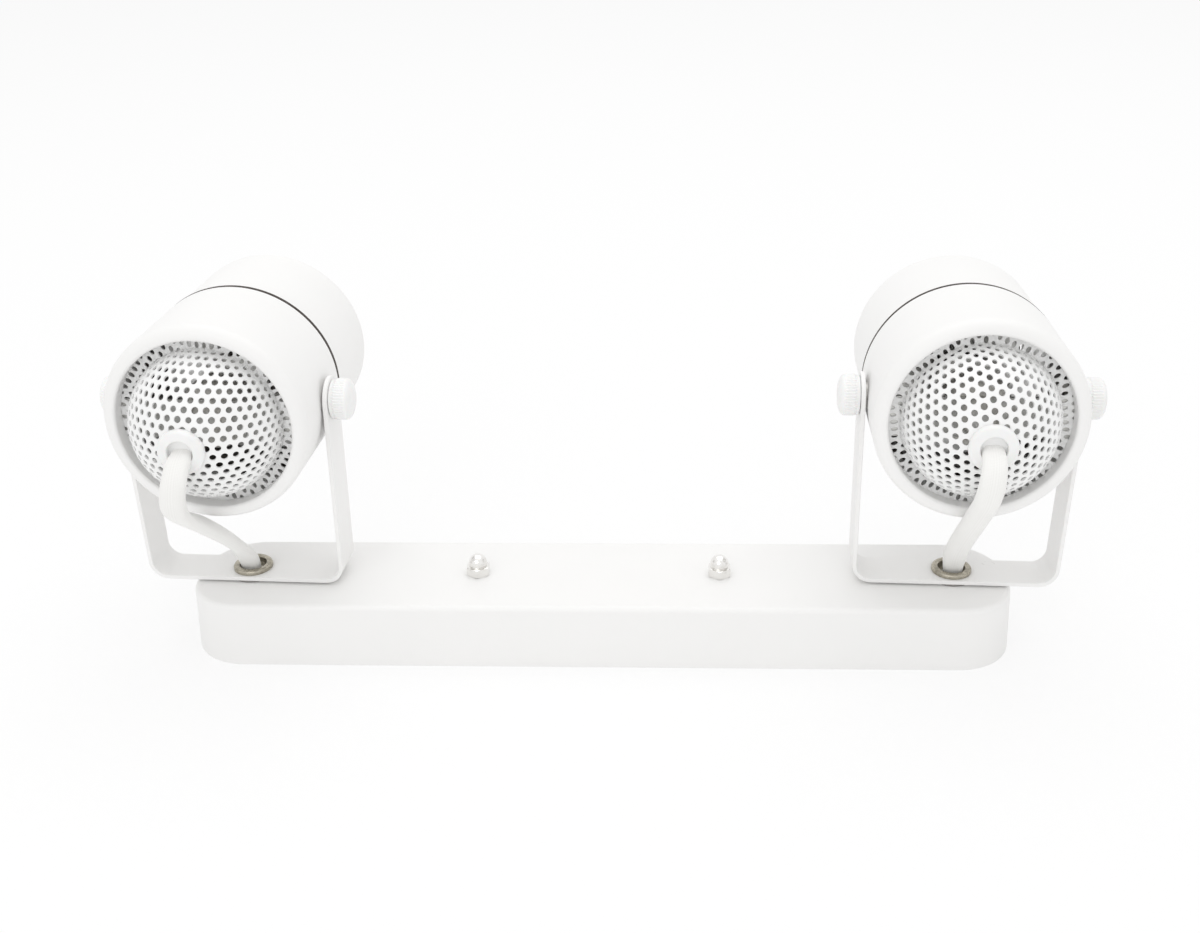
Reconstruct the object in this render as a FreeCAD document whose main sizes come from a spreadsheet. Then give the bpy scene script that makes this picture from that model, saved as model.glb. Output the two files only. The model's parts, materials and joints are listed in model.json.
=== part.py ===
import FreeCAD, Part
import math
import os
import re

import Sketcher
from FreeCAD import Vector

# Two-lamp pivoting spotlight wall light. The row frame has its origin at the middle of the
# crossbar's junction-box slots, in the plane of the wall; +Z points away from the wall and X runs
# along the canopy. All sizes are millimetres and all angles are degrees.

# ---------------------------------------------------------------- driving sizes
SIZES = {
    # canopy: the shallow steel box that covers the junction box
    "canopy_length": 300.0,
    "canopy_depth": 51.0,
    "canopy_height": 24.0,
    "canopy_inset": 1.2,            # how far each side leans in over the height
    "canopy_wall": 1.0,
    "canopy_corner": 21.5,          # radius of the corners, seen from the front
    "canopy_edge": 2.0,             # radius along the front edge
    # crossbar, its studs and the cap nuts that hold the canopy
    "crossbar_length": 104.0,
    "crossbar_width": 20.0,
    "crossbar_thickness": 2.0,
    "crossbar_corner": 5.0,
    "wire_hole": 10.0,
    "slot_spacing": 69.85,
    "slot_length": 9.0,
    "slot_width": 4.8,
    "stud_spacing": 88.9,
    "stud_diameter": 4.1,
    "stud_rise": 5.2,               # how far a stud stands out of the canopy
    "stud_play": 0.4,               # play of a stud in the canopy, on the diameter
    "thread_gap": 0.05,             # radial gap of a plain thread in its nut
    "nut_flats": 7.94,
    "nut_height": 3.0,
    "cap_hex_height": 3.4,
    "cap_collar": 6.6,
    "cap_height": 7.9,
    "cap_flat": 0.3,                # flat left on the crown of a cap nut
    "cap_drill_point": 0.3,
    "ground_offset": 17.0,          # ground screw from the middle of the crossbar
    "ground_head": 7.0,
    "ground_head_height": 2.2,
    "ground_slot": 1.0,
    # swivel: a hollow flanged bush through the canopy carries each yoke
    "head_spacing": 257.0,
    "bush_flange": 14.3,
    "bush_flange_height": 1.8,
    "bush_flange_edge": 0.7,
    "bush_diameter": 11.6,
    "bush_bore": 9.6,
    "bush_tail": 0.7,               # thread left below the nut
    "running_gap": 0.05,            # radial gap of a bush in what turns on it
    "washer_diameter": 16.0,
    "washer_thickness": 0.8,
    "bush_nut_flats": 17.0,
    "bush_nut_height": 3.0,
    # yoke: a bent strip with splayed arms and round ends
    "yoke_width": 72.6,             # over the arms at the base
    "yoke_splay": 1.0,              # how far each arm leans out at the pivot
    "yoke_thickness": 1.5,
    "yoke_strip": 16.2,
    "yoke_bend": 7.0,               # radius outside a bend
    "pivot_height": 70.8,           # pivot above the canopy
    # head: barrel with a rolled rear rim
    "barrel_diameter": 70.2,
    "barrel_wall": 1.5,
    "barrel_rear": 26.0,            # rear plane behind the pivot
    "barrel_front": 16.8,           # front edge ahead of the pivot
    "rim_opening": 60.0,
    "rim_depth": 5.8,
    "rim_lip": 1.3,
    "rim_round": 4.0,
    "rim_inner_round": 2.1,
    "rim_lip_round": 0.9,
    # perforated dome in the rear opening
    "dome_radius": 26.0,
    "dome_wall": 0.6,
    "dome_brim": 66.4,
    "vent_diameter": 2.2,
    "vent_pitch": 3.67,
    "vent_stretch": 0.02,           # how much faster than the sheet the dome spreads, per radian^2
    "vent_shift": 1.4,              # from the nearest vent of the lattice to the crown
    "vent_turn_left": 56.0,         # how the lattice is turned about the beam's axis
    "vent_turn_right": 37.5,
    # bushing that the sleeved lead leaves by
    "collar_diameter": 15.6,
    "collar_bore": 8.5,
    "collar_wall": 1.45,            # of the neck in the dome
    "collar_inner_flange": 13.6,
    "collar_rise": 1.6,
    "collar_round": 0.8,
    "collar_groove": 0.1,
    "collar_grip": 0.6,             # room between the dome and the inner flange
    # pivot inserts riveted into the barrel, and the thumb screws
    "insert_diameter": 9.0,
    "insert_flange": 13.0,
    "insert_flange_thickness": 1.5,
    "arm_gap": 0.1,                 # play between an insert and its arm
    "screw_diameter": 5.0,
    "screw_play": 0.4,
    "screw_reach": 4.0,             # how far a screw reaches inside the barrel's wall
    "knob_diameter": 14.5,
    "knob_length": 8.0,
    "knob_collar": 1.6,
    "knob_crown": 2.0,
    "knob_floor": 4.0,              # plastic beyond the screw's end
    "knob_ribs": 44,
    "rib_depth": 0.4,
    "rib_groove": 0.88,             # diameter of the round groove between two ribs
    "knob_gap": 0.15,
    # front sleeve on its joint ring
    "sleeve_diameter": 68.6,
    "sleeve_wall": 1.2,
    "sleeve_front": 58.2,
    "sleeve_lip": 57.0,
    "sleeve_edge": 1.2,
    "seam_gap": 1.0,
    "sleeve_play": 0.1,
    "ring_wall": 1.2,
    "ring_depth": 9.0,
    "neck_reach": 9.0,
    "nub_diameter": 0.9,
    "nub_height": 1.0,
    "nub_count": 3,
    # lampholder, its bracket and the lamp
    "bracket_thickness": 1.2,
    "bracket_width": 14.0,
    "bracket_inset": 0.6,           # from the brim's edge to the bracket's end
    "bracket_hole": 13.0,
    "holder_diameter": 24.0,
    "holder_length": 18.4,
    "holder_edge": 2.0,
    "socket_diameter": 6.0,
    "socket_depth": 7.0,
    "lamp_diameter": 50.0,
    "lamp_length": 46.0,
    "lamp_rim": 3.0,
    "lamp_rim_step": 1.0,           # how far the rim stands out of the bowl
    "lamp_edge": 1.0,
    "lamp_shoulder": 13.0,
    "lamp_neck": 20.0,
    "lens_diameter": 44.0,
    "lens_thickness": 1.5,
    "pin_diameter": 3.0,
    "pin_foot": 5.0,
    "pin_foot_height": 1.6,
    "pin_length": 5.0,
    "pin_spacing": 10.0,
    # sleeved leads and the connectors they end in
    "lead_diameter": 6.6,
    "connector_length": 16.0,
    "connector_width": 11.0,
    "connector_top": 16.0,
    "connector_bottom": 3.0,
    "connector_corner": 1.8,
    # how the heads are set
    "head_swivel": -2.5,
    "head_tilt_left": -0.4,
    "head_tilt_right": -2.4,
}

SIDES = {"left": -1, "right": 1}    # the sign of X at each head
HEXAGON_CORNER = 1 / math.sqrt(3)   # a hexagon's corner radius over its width across flats
CUT_MARGIN = 1                      # how far a cutting outline reaches past what it cuts
ARC_SHARE = 0.45                    # share of the shorter run that an arc of a lead takes up
STRETCH_STEPS = 12                  # rounds in which a vent's latitude settles

# Routes of the two sleeved leads, from the lampholder through the collar to the swivel bush.
LEAD_ROUTES = {
    "left": [
        (-129.3, -18.45, 94.93), (-129.98, -34.0, 95.04), (-130.6, -49.6, 94.9), (-131.2, -55.0, 88.8),
        (-133.2, -54.0, 80.4), (-134.6, -47.5, 72.2), (-132.6, -35.0, 63.2), (-130.4, -21.5, 51.4),
        (-129.3, -9.5, 40.2), (-128.9, -1.2, 30.4), (-128.5, 0.0, 23.0), (-128.5, 0.0, 16.0),
    ],
    "right": [
        (127.7, -18.42, 95.57), (127.02, -34.0, 96.22), (126.4, -49.8, 96.7), (125.3, -55.2, 90.6),
        (124.6, -54.0, 82.6), (125.1, -46.5, 75.4), (126.2, -34.0, 64.2), (126.9, -21.0, 51.9),
        (127.5, -9.0, 39.8), (128.2, -1.1, 30.2), (128.5, 0.0, 23.0), (128.5, 0.0, 16.0),
    ],
}

doc = FreeCAD.newDocument("SpotlightWallLight")
sheet = doc.addObject("Spreadsheet::Sheet", "Sizes")
for row, (alias, size) in enumerate(SIZES.items(), start=1):
    sheet.set(f"A{row}", alias)
    sheet.set(f"B{row}", str(size))
    sheet.setAlias(f"B{row}", alias)
doc.recompute()

sub_parts = []


# ---------------------------------------------------------------- helpers
def bound(expression):
    """The expression with each size's name pointing at its cell in the sheet."""
    def cell(match):
        word = match.group()
        return f"Sizes.{word}" if word in SIZES else word
    return re.sub(r"[A-Za-z_][A-Za-z_0-9]*", cell, str(expression))


def number(expression):
    """The expression's present value."""
    return float(sheet.evalExpression(str(expression)))


def frame(x=0, y=0, z=0, yaw=0, roll=0):
    """A placement, as an expression: a roll about X, then a yaw about Z, then a move."""
    return bound(
        f"create(<<placement>>; create(<<vector>>; {x}; {y}; {z});"
        f" create(<<rotation>>; {yaw}; 0; {roll}))"
    )


def sub_part(obj, label, placement=None):
    """Names an object as a sub-part and gives it its place."""
    obj.Label = label
    if placement:
        obj.setExpression("Placement", placement)
    sub_parts.append(obj)
    return obj


def new_body(label, placement=None):
    body = doc.addObject("PartDesign::Body", "Body_" + label)
    return sub_part(body, label, placement)


def new_sketch(body, plane, name, height=None):
    """A sketch on one of the body's own origin planes, raised by an expression."""
    sketch = body.newObject("Sketcher::SketchObject", name)
    support = [f for f in body.Origin.OriginFeatures if f.Role == plane + "_Plane"][0]
    sketch.AttachmentSupport = [(support, "")]
    sketch.MapMode = "FlatFace"
    if height is not None:
        sketch.setExpression("AttachmentOffset.Base.z", bound(height))
    return sketch


def pin_point(sketch, geometry, vertex, x, y):
    """Holds one vertex of a sketch at x, y, both expressions."""
    for kind, coordinate in (("DistanceX", x), ("DistanceY", y)):
        index = sketch.addConstraint(
            Sketcher.Constraint(kind, -1, 1, geometry, vertex, number(coordinate))
        )
        sketch.setExpression(f"Constraints[{index}]", bound(coordinate))


def draw_polygon(sketch, corners):
    """A closed outline through corners, each a pair of expressions."""
    points = [Vector(number(x), number(y), 0) for x, y in corners]
    first = sketch.GeometryCount
    count = len(points)
    for i, point in enumerate(points):
        sketch.addGeometry(Part.LineSegment(point, points[(i + 1) % count]), False)
    for i, (x, y) in enumerate(corners):
        sketch.addConstraint(
            Sketcher.Constraint("Coincident", first + i, 2, first + (i + 1) % count, 1)
        )
        pin_point(sketch, first + i, 1, x, y)


def draw_circle(sketch, x, y, diameter):
    radius = number(diameter) / 2
    centre = Vector(number(x), number(y), 0)
    geometry = sketch.addGeometry(Part.Circle(centre, Vector(0, 0, 1), radius), False)
    index = sketch.addConstraint(Sketcher.Constraint("Diameter", geometry, 2 * radius))
    sketch.setExpression(f"Constraints[{index}]", bound(diameter))
    pin_point(sketch, geometry, 3, x, y)


def draw_hexagon(sketch, flats):
    corners = []
    for k in range(6):
        angle = math.radians(60 * k)
        corners.append((f"{flats} * {HEXAGON_CORNER * math.cos(angle):.9f}",
                        f"{flats} * {HEXAGON_CORNER * math.sin(angle):.9f}"))
    draw_polygon(sketch, corners)


def rectangle(x_low, y_low, x_high, y_high):
    return [(x_low, y_low), (x_high, y_low), (x_high, y_high), (x_low, y_high)]


def draw_rounded_rectangle(sketch, half_length, half_depth, radius):
    """A rectangle about the origin whose corners are arcs, each held by its ends and centre."""
    inner_x, inner_y = f"({half_length} - ({radius}))", f"({half_depth} - ({radius}))"
    outer_x, outer_y = f"({half_length})", f"({half_depth})"
    ends = [(outer_x, inner_y), (inner_x, outer_y)]
    size = number(radius)
    for quarter, (sign_x, sign_y) in enumerate((("", ""), ("-", ""), ("-", "-"), ("", "-"))):
        (start_x, start_y), (end_x, end_y) = ends if quarter % 2 == 0 else reversed(ends)
        turn = 90 * quarter
        centre_x, centre_y = f"{sign_x}{inner_x}", f"{sign_y}{inner_y}"
        circle = Part.Circle(Vector(number(centre_x), number(centre_y), 0), Vector(0, 0, 1), size)
        arc = Part.ArcOfCircle(circle, math.radians(turn), math.radians(turn + 90))
        index = sketch.addGeometry(arc, False)
        pin_point(sketch, index, 1, f"{sign_x}{start_x}", f"{sign_y}{start_y}")
        pin_point(sketch, index, 2, f"{sign_x}{end_x}", f"{sign_y}{end_y}")
        held = sketch.addConstraint(
            Sketcher.Constraint("DistanceX", -1, 1, index, 3, number(centre_x))
        )
        sketch.setExpression(f"Constraints[{held}]", bound(centre_x))
    for arc in range(4):
        start = sketch.Geometry[arc].EndPoint
        end = sketch.Geometry[(arc + 1) % 4].StartPoint
        line = sketch.addGeometry(Part.LineSegment(start, end), False)
        sketch.addConstraint(Sketcher.Constraint("Coincident", arc, 2, line, 1))
        sketch.addConstraint(Sketcher.Constraint("Coincident", line, 2, (arc + 1) % 4, 1))


def pad(body, sketch, length, midplane=False, taper=None):
    feature = body.newObject("PartDesign::Pad", sketch.Name + "_pad")
    feature.Profile = sketch
    feature.setExpression("Length", bound(length))
    feature.Midplane = midplane
    if taper:
        feature.setExpression("TaperAngle", bound(taper))
    doc.recompute()
    return feature


def pocket(body, sketch, length, midplane=False, reverse=True, taper=None):
    """Cuts along the sketch's normal, or both ways from the sketch with midplane."""
    volume = body.Shape.Volume
    feature = body.newObject("PartDesign::Pocket", sketch.Name + "_pocket")
    feature.Profile = sketch
    feature.setExpression("Length", bound(length))
    feature.Midplane = midplane
    feature.Reversed = reverse
    if taper:
        feature.setExpression("TaperAngle", bound(taper))
    doc.recompute()
    if body.Shape.Volume > volume - 0.01:
        raise RuntimeError(f"{feature.Name} cuts nothing")
    return feature


def revolve(body, corners, name, plane="XY", axis="V_Axis", kind="Revolution"):
    """Turns an outline about the sketch's axis: a Revolution adds and a Groove cuts."""
    sketch = new_sketch(body, plane, name)
    draw_polygon(sketch, corners)
    feature = body.newObject("PartDesign::" + kind, name + "_turned")
    feature.Profile = sketch
    feature.ReferenceAxis = (sketch, [axis])
    feature.Angle = 360
    doc.recompute()
    return feature


def fillet(body, edges, radius):
    """Rounds the named edges of the body's last feature."""
    base = body.Tip
    feature = body.newObject("PartDesign::Fillet", base.Name + "_round")
    feature.Base = (base, edges)
    feature.setExpression("Radius", bound(radius))
    doc.recompute()
    return feature


def round_edges(body, radius, axis, at):
    """Names of the circular edges of that radius whose centre is at that place on the axis."""
    names = []
    for index, edge in enumerate(body.Tip.Shape.Edges, start=1):
        if not isinstance(edge.Curve, Part.Circle):
            continue
        centre = getattr(edge.Curve.Center, axis)
        if abs(edge.Curve.Radius - number(radius)) < 1e-3 and abs(centre - number(at)) < 1e-3:
            names.append(f"Edge{index}")
    return names


def edges_at_height(body, height):
    """Names of the edges of the body's last feature that lie flat at that height."""
    level = number(height)
    return [f"Edge{index}" for index, edge in enumerate(body.Tip.Shape.Edges, start=1)
            if max(abs(vertex.Z - level) for vertex in edge.Vertexes) < 1e-4]


def edges_within(body, low, high):
    """Names of the edges that lie wholly between two corners."""
    names = []
    for index, edge in enumerate(body.Tip.Shape.Edges, start=1):
        box = edge.BoundBox
        inside = all(a - 1e-4 <= b for a, b in zip(low, (box.XMin, box.YMin, box.ZMin)))
        if inside and all(b <= a + 1e-4 for a, b in zip(high, (box.XMax, box.YMax, box.ZMax))):
            names.append(f"Edge{index}")
    return names


def polar_pattern(body, feature, axis_sketch, axis, count):
    """Repeats a feature about an axis of a sketch."""
    pattern = body.newObject("PartDesign::PolarPattern", feature.Name + "_pattern")
    pattern.Originals = [feature]
    pattern.Axis = (axis_sketch, [axis])
    pattern.Angle = 360
    pattern.setExpression("Occurrences", bound(count))
    body.Tip = pattern
    doc.recompute()
    return pattern


def mirrored_pair(source, label):
    """The source and its mirror image across X = 0, as one sub-part of two solids."""
    sub_parts.remove(source)
    mirror = doc.addObject("Part::Mirroring", "Mirror_" + label)
    mirror.Source = source
    mirror.Normal = Vector(1, 0, 0)
    pair = doc.addObject("Part::Compound", "Pair_" + label)
    pair.Links = [source, mirror]
    return sub_part(pair, label)


def hex_nut(label, placement, flats, height, bore):
    """A hexagon nut standing on z = 0, with its corners turned off at both ends."""
    body = new_body(label, placement)
    outline = new_sketch(body, "XY", label + "_hexagon")
    draw_hexagon(outline, flats)
    pad(body, outline, height)
    opening = new_sketch(body, "XY", label + "_bore")
    draw_circle(opening, 0, 0, bore)
    pocket(body, opening, f"2 * {height}", midplane=True)
    corner = f"{flats} * {HEXAGON_CORNER:.9f}"
    bevel = f"({corner} - {flats} / 2) * {HEXAGON_CORNER:.9f}"
    beyond = f"({corner} + {CUT_MARGIN})"
    slope = f"{bevel} * ({beyond} - {flats} / 2) / ({corner} - {flats} / 2)"
    revolve(body, [(f"{flats} / 2", height), (beyond, height), (beyond, f"{height} - {slope}")],
            label + "_bevel", "XZ", kind="Groove")
    return body


# ---------------------------------------------------------------- canopy and crossbar
def make_canopy():
    """A drawn steel box, open towards the wall, with holes for the studs and the bushes."""
    body = new_body("canopy")
    lean = "-atan(canopy_inset / canopy_height)"
    outside = new_sketch(body, "XY", "canopy_outside")
    draw_rounded_rectangle(outside, "canopy_length / 2", "canopy_depth / 2", "canopy_corner")
    pad(body, outside, "canopy_height", taper=lean)
    fillet(body, edges_at_height(body, "canopy_height"), "canopy_edge")
    inside = new_sketch(body, "XY", "canopy_inside")
    draw_rounded_rectangle(inside, "canopy_length / 2 - canopy_wall",
                           "canopy_depth / 2 - canopy_wall", "canopy_corner - canopy_wall")
    pocket(body, inside, "canopy_height - canopy_wall", taper=lean)

    holes = new_sketch(body, "XY", "canopy_holes", "canopy_height")
    for sign in SIDES.values():
        draw_circle(holes, f"{sign} * stud_spacing / 2", 0, "stud_diameter + stud_play")
        draw_circle(holes, f"{sign} * head_spacing / 2", 0, "bush_diameter + 2 * running_gap")
    pocket(body, holes, "4 * canopy_wall", midplane=True)


def make_crossbar():
    """The flat strip that is screwed to the junction box and carries the studs."""
    body = new_body("crossbar")
    outline = new_sketch(body, "XY", "crossbar_outline")
    draw_polygon(outline, rectangle("-crossbar_length / 2", "-crossbar_width / 2",
                                    "crossbar_length / 2", "crossbar_width / 2"))
    pad(body, outline, "crossbar_thickness")
    uprights = [f"Edge{i}" for i, edge in enumerate(body.Tip.Shape.Edges, start=1)
                if edge.BoundBox.ZLength > number("crossbar_thickness") / 2]
    fillet(body, uprights, "crossbar_corner")
    middles = new_sketch(body, "XY", "slot_middles")
    ends = new_sketch(body, "XY", "slot_ends_and_holes")
    draw_circle(ends, 0, 0, "wire_hole")
    draw_circle(ends, "ground_offset", 0, "stud_diameter + 2 * thread_gap")
    for sign in SIDES.values():
        centre = f"{sign} * slot_spacing / 2"
        reach = "(slot_length - slot_width) / 2"
        draw_polygon(middles, rectangle(f"{centre} - {reach}", "-slot_width / 2",
                                        f"{centre} + {reach}", "slot_width / 2"))
        draw_circle(ends, f"{sign} * stud_spacing / 2", 0, "stud_diameter + 2 * thread_gap")
    pocket(body, middles, "4 * crossbar_thickness", midplane=True)
    pocket(body, ends, "4 * crossbar_thickness", midplane=True)
    for name, side in (("slot_inner_ends", -1), ("slot_outer_ends", 1)):
        rounds = new_sketch(body, "XY", name)
        for sign in SIDES.values():
            draw_circle(rounds, f"{sign} * slot_spacing / 2 + {side} * (slot_length - slot_width) / 2",
                        0, "slot_width")
        pocket(body, rounds, "4 * crossbar_thickness", midplane=True)


def make_fasteners():
    """The studs with their lock nuts, the cap nuts on the canopy, and the ground screw."""
    at_stud = frame("stud_spacing / 2")
    stud = new_body("stud", at_stud)
    shank = new_sketch(stud, "XY", "stud_shank")
    draw_circle(shank, 0, 0, "stud_diameter")
    pad(stud, shank, "canopy_height + stud_rise")
    mirrored_pair(stud, "studs")

    on_bar = frame("stud_spacing / 2", 0, "crossbar_thickness")
    bore = "(stud_diameter + 2 * thread_gap)"
    mirrored_pair(hex_nut("stud_nut", on_bar, "nut_flats", "nut_height", bore), "stud_nuts")

    on_canopy = frame("stud_spacing / 2", 0, "canopy_height")
    cap = hex_nut("cap_nut", on_canopy, "nut_flats", "cap_hex_height", bore)
    inside = "cap_hex_height / 2"
    revolve(cap, [(0, "stud_rise + cap_drill_point"), (f"{bore} / 2", "stud_rise"), (f"{bore} / 2", inside),
                  ("cap_collar / 2", inside), ("cap_collar / 2", "cap_height"), (0, "cap_height")],
            "cap_collar_profile", "XZ")
    crown = round_edges(cap, "cap_collar / 2", "z", "cap_height")
    fillet(cap, crown, "(cap_collar - cap_flat) / 2")
    mirrored_pair(cap, "cap_nuts")

    screw = new_body("ground_screw", frame("ground_offset"))
    top = "crossbar_thickness + ground_head_height"
    revolve(screw, [(0, 0), ("stud_diameter / 2", 0), ("stud_diameter / 2", "crossbar_thickness"),
                    ("ground_head / 2", "crossbar_thickness"), ("ground_head / 2", top), (0, top)],
            "ground_profile", "XZ")
    fillet(screw, round_edges(screw, "ground_head / 2", "z", top), "ground_head_height / 2")
    drive = new_sketch(screw, "XY", "ground_drive", top)
    draw_polygon(drive, rectangle("-ground_head", "-ground_slot / 2", "ground_head", "ground_slot / 2"))
    pocket(screw, drive, "ground_slot * 2", midplane=True)


# ---------------------------------------------------------------- swivel joints
def make_swivel(side, sign):
    """The flanged bush that a yoke turns on, its washers, its nut and the lead's connector."""
    x = f"{sign} * head_spacing / 2"
    at_canopy = frame(x, 0, "canopy_height")
    flange_foot = "(washer_thickness + yoke_thickness)"
    flange_top = f"({flange_foot} + bush_flange_height)"
    thread_end = "-(canopy_wall + washer_thickness + bush_nut_height + bush_tail)"

    bush = new_body(f"swivel_bush_{side}", at_canopy)
    revolve(bush, [("bush_bore / 2", thread_end), ("bush_diameter / 2", thread_end),
                   ("bush_diameter / 2", flange_foot), ("bush_flange / 2", flange_foot),
                   ("bush_flange / 2", flange_top), ("bush_bore / 2", flange_top)],
            f"bush_profile_{side}", "XZ")
    edges = round_edges(bush, "bush_flange / 2", "z", flange_top)
    fillet(bush, edges, "bush_flange_edge")

    hole = "(bush_diameter / 2 + running_gap)"
    for name, low in (("yoke_washer", "0"), ("friction_washer", "-canopy_wall - washer_thickness")):
        washer = new_body(f"{name}_{side}", at_canopy)
        high = f"({low} + washer_thickness)"
        revolve(washer, [(hole, low), ("washer_diameter / 2", low),
                         ("washer_diameter / 2", high), (hole, high)],
                f"{name}_profile_{side}", "XZ")

    nut_foot = "canopy_height - canopy_wall - washer_thickness - bush_nut_height"
    hex_nut(f"bush_nut_{side}", frame(x, 0, nut_foot), "bush_nut_flats", "bush_nut_height",
            "(bush_diameter + 2 * thread_gap)")

    connector = new_body(f"lead_connector_{side}", frame(x))
    block = new_sketch(connector, "XY", f"connector_outline_{side}", "connector_bottom")
    draw_polygon(block, rectangle("-connector_length / 2", "-connector_width / 2",
                                  "connector_length / 2", "connector_width / 2"))
    pad(connector, block, "connector_top - connector_bottom")
    edges = [f"Edge{i}" for i, edge in enumerate(connector.Tip.Shape.Edges, start=1)
             if edge.BoundBox.ZLength > number("connector_top - connector_bottom") / 2]
    fillet(connector, edges, "connector_corner")


def make_yoke(side, sign):
    """A bent strip: a base on the swivel bush, and two arms that splay out to the pivot."""
    body = new_body(f"yoke_{side}", frame(f"{sign} * head_spacing / 2", 0, "canopy_height",
                                          "head_swivel"))
    foot = "washer_thickness"
    top = "(pivot_height + yoke_strip / 2)"
    lean = f"yoke_splay * ({top} - {foot}) / (pivot_height - {foot})"
    base = "yoke_width / 2"
    head = f"({base} + {lean})"
    inner_base = f"({base} - yoke_thickness)"
    inner_head = f"({head} - yoke_thickness)"
    profile = new_sketch(body, "XZ", f"yoke_profile_{side}")
    draw_polygon(profile, [
        (f"-{base}", foot), (base, foot), (head, top), (inner_head, top),
        (inner_base, f"{foot} + yoke_thickness"), (f"-{inner_base}", f"{foot} + yoke_thickness"),
        (f"-{inner_head}", top), (f"-{head}", top),
    ])
    pad(body, profile, "yoke_strip", midplane=True)

    half = number("yoke_strip / 2")
    for level, reach, radius in (
        (foot, base, "yoke_bend"),
        (f"{foot} + yoke_thickness", inner_base, "yoke_bend - yoke_thickness"),
    ):
        bends = []
        for end in (-1, 1):
            x = end * number(reach)
            bends += edges_within(body, (x - 0.01, -half, number(level) - 0.01),
                                  (x + 0.01, half, number(level) + 0.01))
        bends = [b for b in bends if body.Tip.Shape.getElement(b).BoundBox.YLength > half]
        fillet(body, bends, radius)

    # everything above the round ends of the arms, drawn in the plane across the strip
    ends = new_sketch(body, "YZ", f"yoke_ends_{side}")
    wide = f"(yoke_strip / 2 + {CUT_MARGIN})"
    over = f"({top} + {CUT_MARGIN})"
    draw_arch(ends, "yoke_strip / 2", "pivot_height", wide, over)
    pocket(body, ends, "2 * yoke_width", midplane=True)
    holes = new_sketch(body, "YZ", f"yoke_pivot_holes_{side}")
    draw_circle(holes, 0, "pivot_height", "screw_diameter + screw_play")
    pocket(body, holes, "2 * yoke_width", midplane=True)
    swivel = new_sketch(body, "XY", f"yoke_swivel_hole_{side}")
    draw_circle(swivel, 0, 0, "bush_diameter + 2 * running_gap")
    pocket(body, swivel, f"2 * ({foot} + 2 * yoke_thickness)", midplane=True)


def draw_arch(sketch, radius, centre, wide, over):
    """The region above a half circle: it is cut away to leave a round end."""
    lines = [(radius, centre), (wide, centre), (wide, over), (f"-{wide}", over),
             (f"-{wide}", centre), (f"-{radius}", centre)]
    points = [Vector(number(x), number(y), 0) for x, y in lines]
    for start, end in zip(points, points[1:]):
        sketch.addGeometry(Part.LineSegment(start, end), False)
    circle = Part.Circle(Vector(0, number(centre), 0), Vector(0, 0, 1), number(radius))
    arc = sketch.addGeometry(Part.ArcOfCircle(circle, 0, math.pi), False)
    for i in range(4):
        sketch.addConstraint(Sketcher.Constraint("Coincident", i, 2, i + 1, 1))
    sketch.addConstraint(Sketcher.Constraint("Coincident", 4, 2, arc, 2))
    sketch.addConstraint(Sketcher.Constraint("Coincident", arc, 1, 0, 1))
    for i in range(1, 5):
        pin_point(sketch, i, 1, *lines[i])
    pin_point(sketch, arc, 3, 0, centre)
    index = sketch.addConstraint(Sketcher.Constraint("Radius", arc, number(radius)))
    sketch.setExpression(f"Constraints[{index}]", bound(radius))
    for i in (0, 4):
        sketch.addConstraint(Sketcher.Constraint("Horizontal", i))


# ---------------------------------------------------------------- heads
# In a head's own frame Y is the beam's axis, forwards, and X is the tilt axis, with the
# origin where they cross.
def head_frame(side, sign):
    return frame(f"{sign} * head_spacing / 2", 0, "canopy_height + pivot_height",
                 "head_swivel", f"head_tilt_{side}")


BARREL = "(barrel_diameter / 2)"
BARREL_INSIDE = "(barrel_diameter / 2 - barrel_wall)"
LIP = "(rim_opening / 2)"
LIP_END = "(rim_depth - barrel_rear)"               # where the rim's lip stops, on the beam's axis
BRIM_FRONT = f"({LIP_END} + dome_wall)"
BRACKET_FRONT = f"({BRIM_FRONT} + bracket_thickness)"
HOLDER_FRONT = f"({BRACKET_FRONT} + holder_length)"
DOME_APEX = f"({LIP_END} - dome_radius)"
COLLAR_NECK = "(collar_bore / 2 + collar_wall)"
NECK = "(sleeve_diameter / 2 - sleeve_wall - sleeve_play)"
ARM_INSIDE = "(yoke_width / 2 + yoke_splay - yoke_thickness)"
ARM_OUTSIDE = "(yoke_width / 2 + yoke_splay)"


def make_barrel(side, at_head):
    """The rear housing: a drawn tube whose rear edge is rolled in to a lip."""
    body = new_body(f"barrel_{side}", at_head)
    revolve(body, [
        (BARREL, "barrel_front"), (BARREL, "-barrel_rear"), (LIP, "-barrel_rear"), (LIP, LIP_END),
        (f"{LIP} + rim_lip", LIP_END), (f"{LIP} + rim_lip", "barrel_wall - barrel_rear"),
        (BARREL_INSIDE, "barrel_wall - barrel_rear"), (BARREL_INSIDE, "barrel_front"),
    ], f"barrel_profile_{side}")
    fillet(body, round_edges(body, BARREL, "y", "-barrel_rear"), "rim_round")
    fillet(body, round_edges(body, BARREL_INSIDE, "y", "barrel_wall - barrel_rear"),
           "rim_inner_round")
    fillet(body, round_edges(body, LIP, "y", "-barrel_rear"), "rim_lip_round")
    holes = new_sketch(body, "YZ", f"barrel_insert_holes_{side}")
    draw_circle(holes, 0, 0, "insert_diameter + 2 * thread_gap")
    pocket(body, holes, "2 * barrel_diameter", midplane=True)


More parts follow.
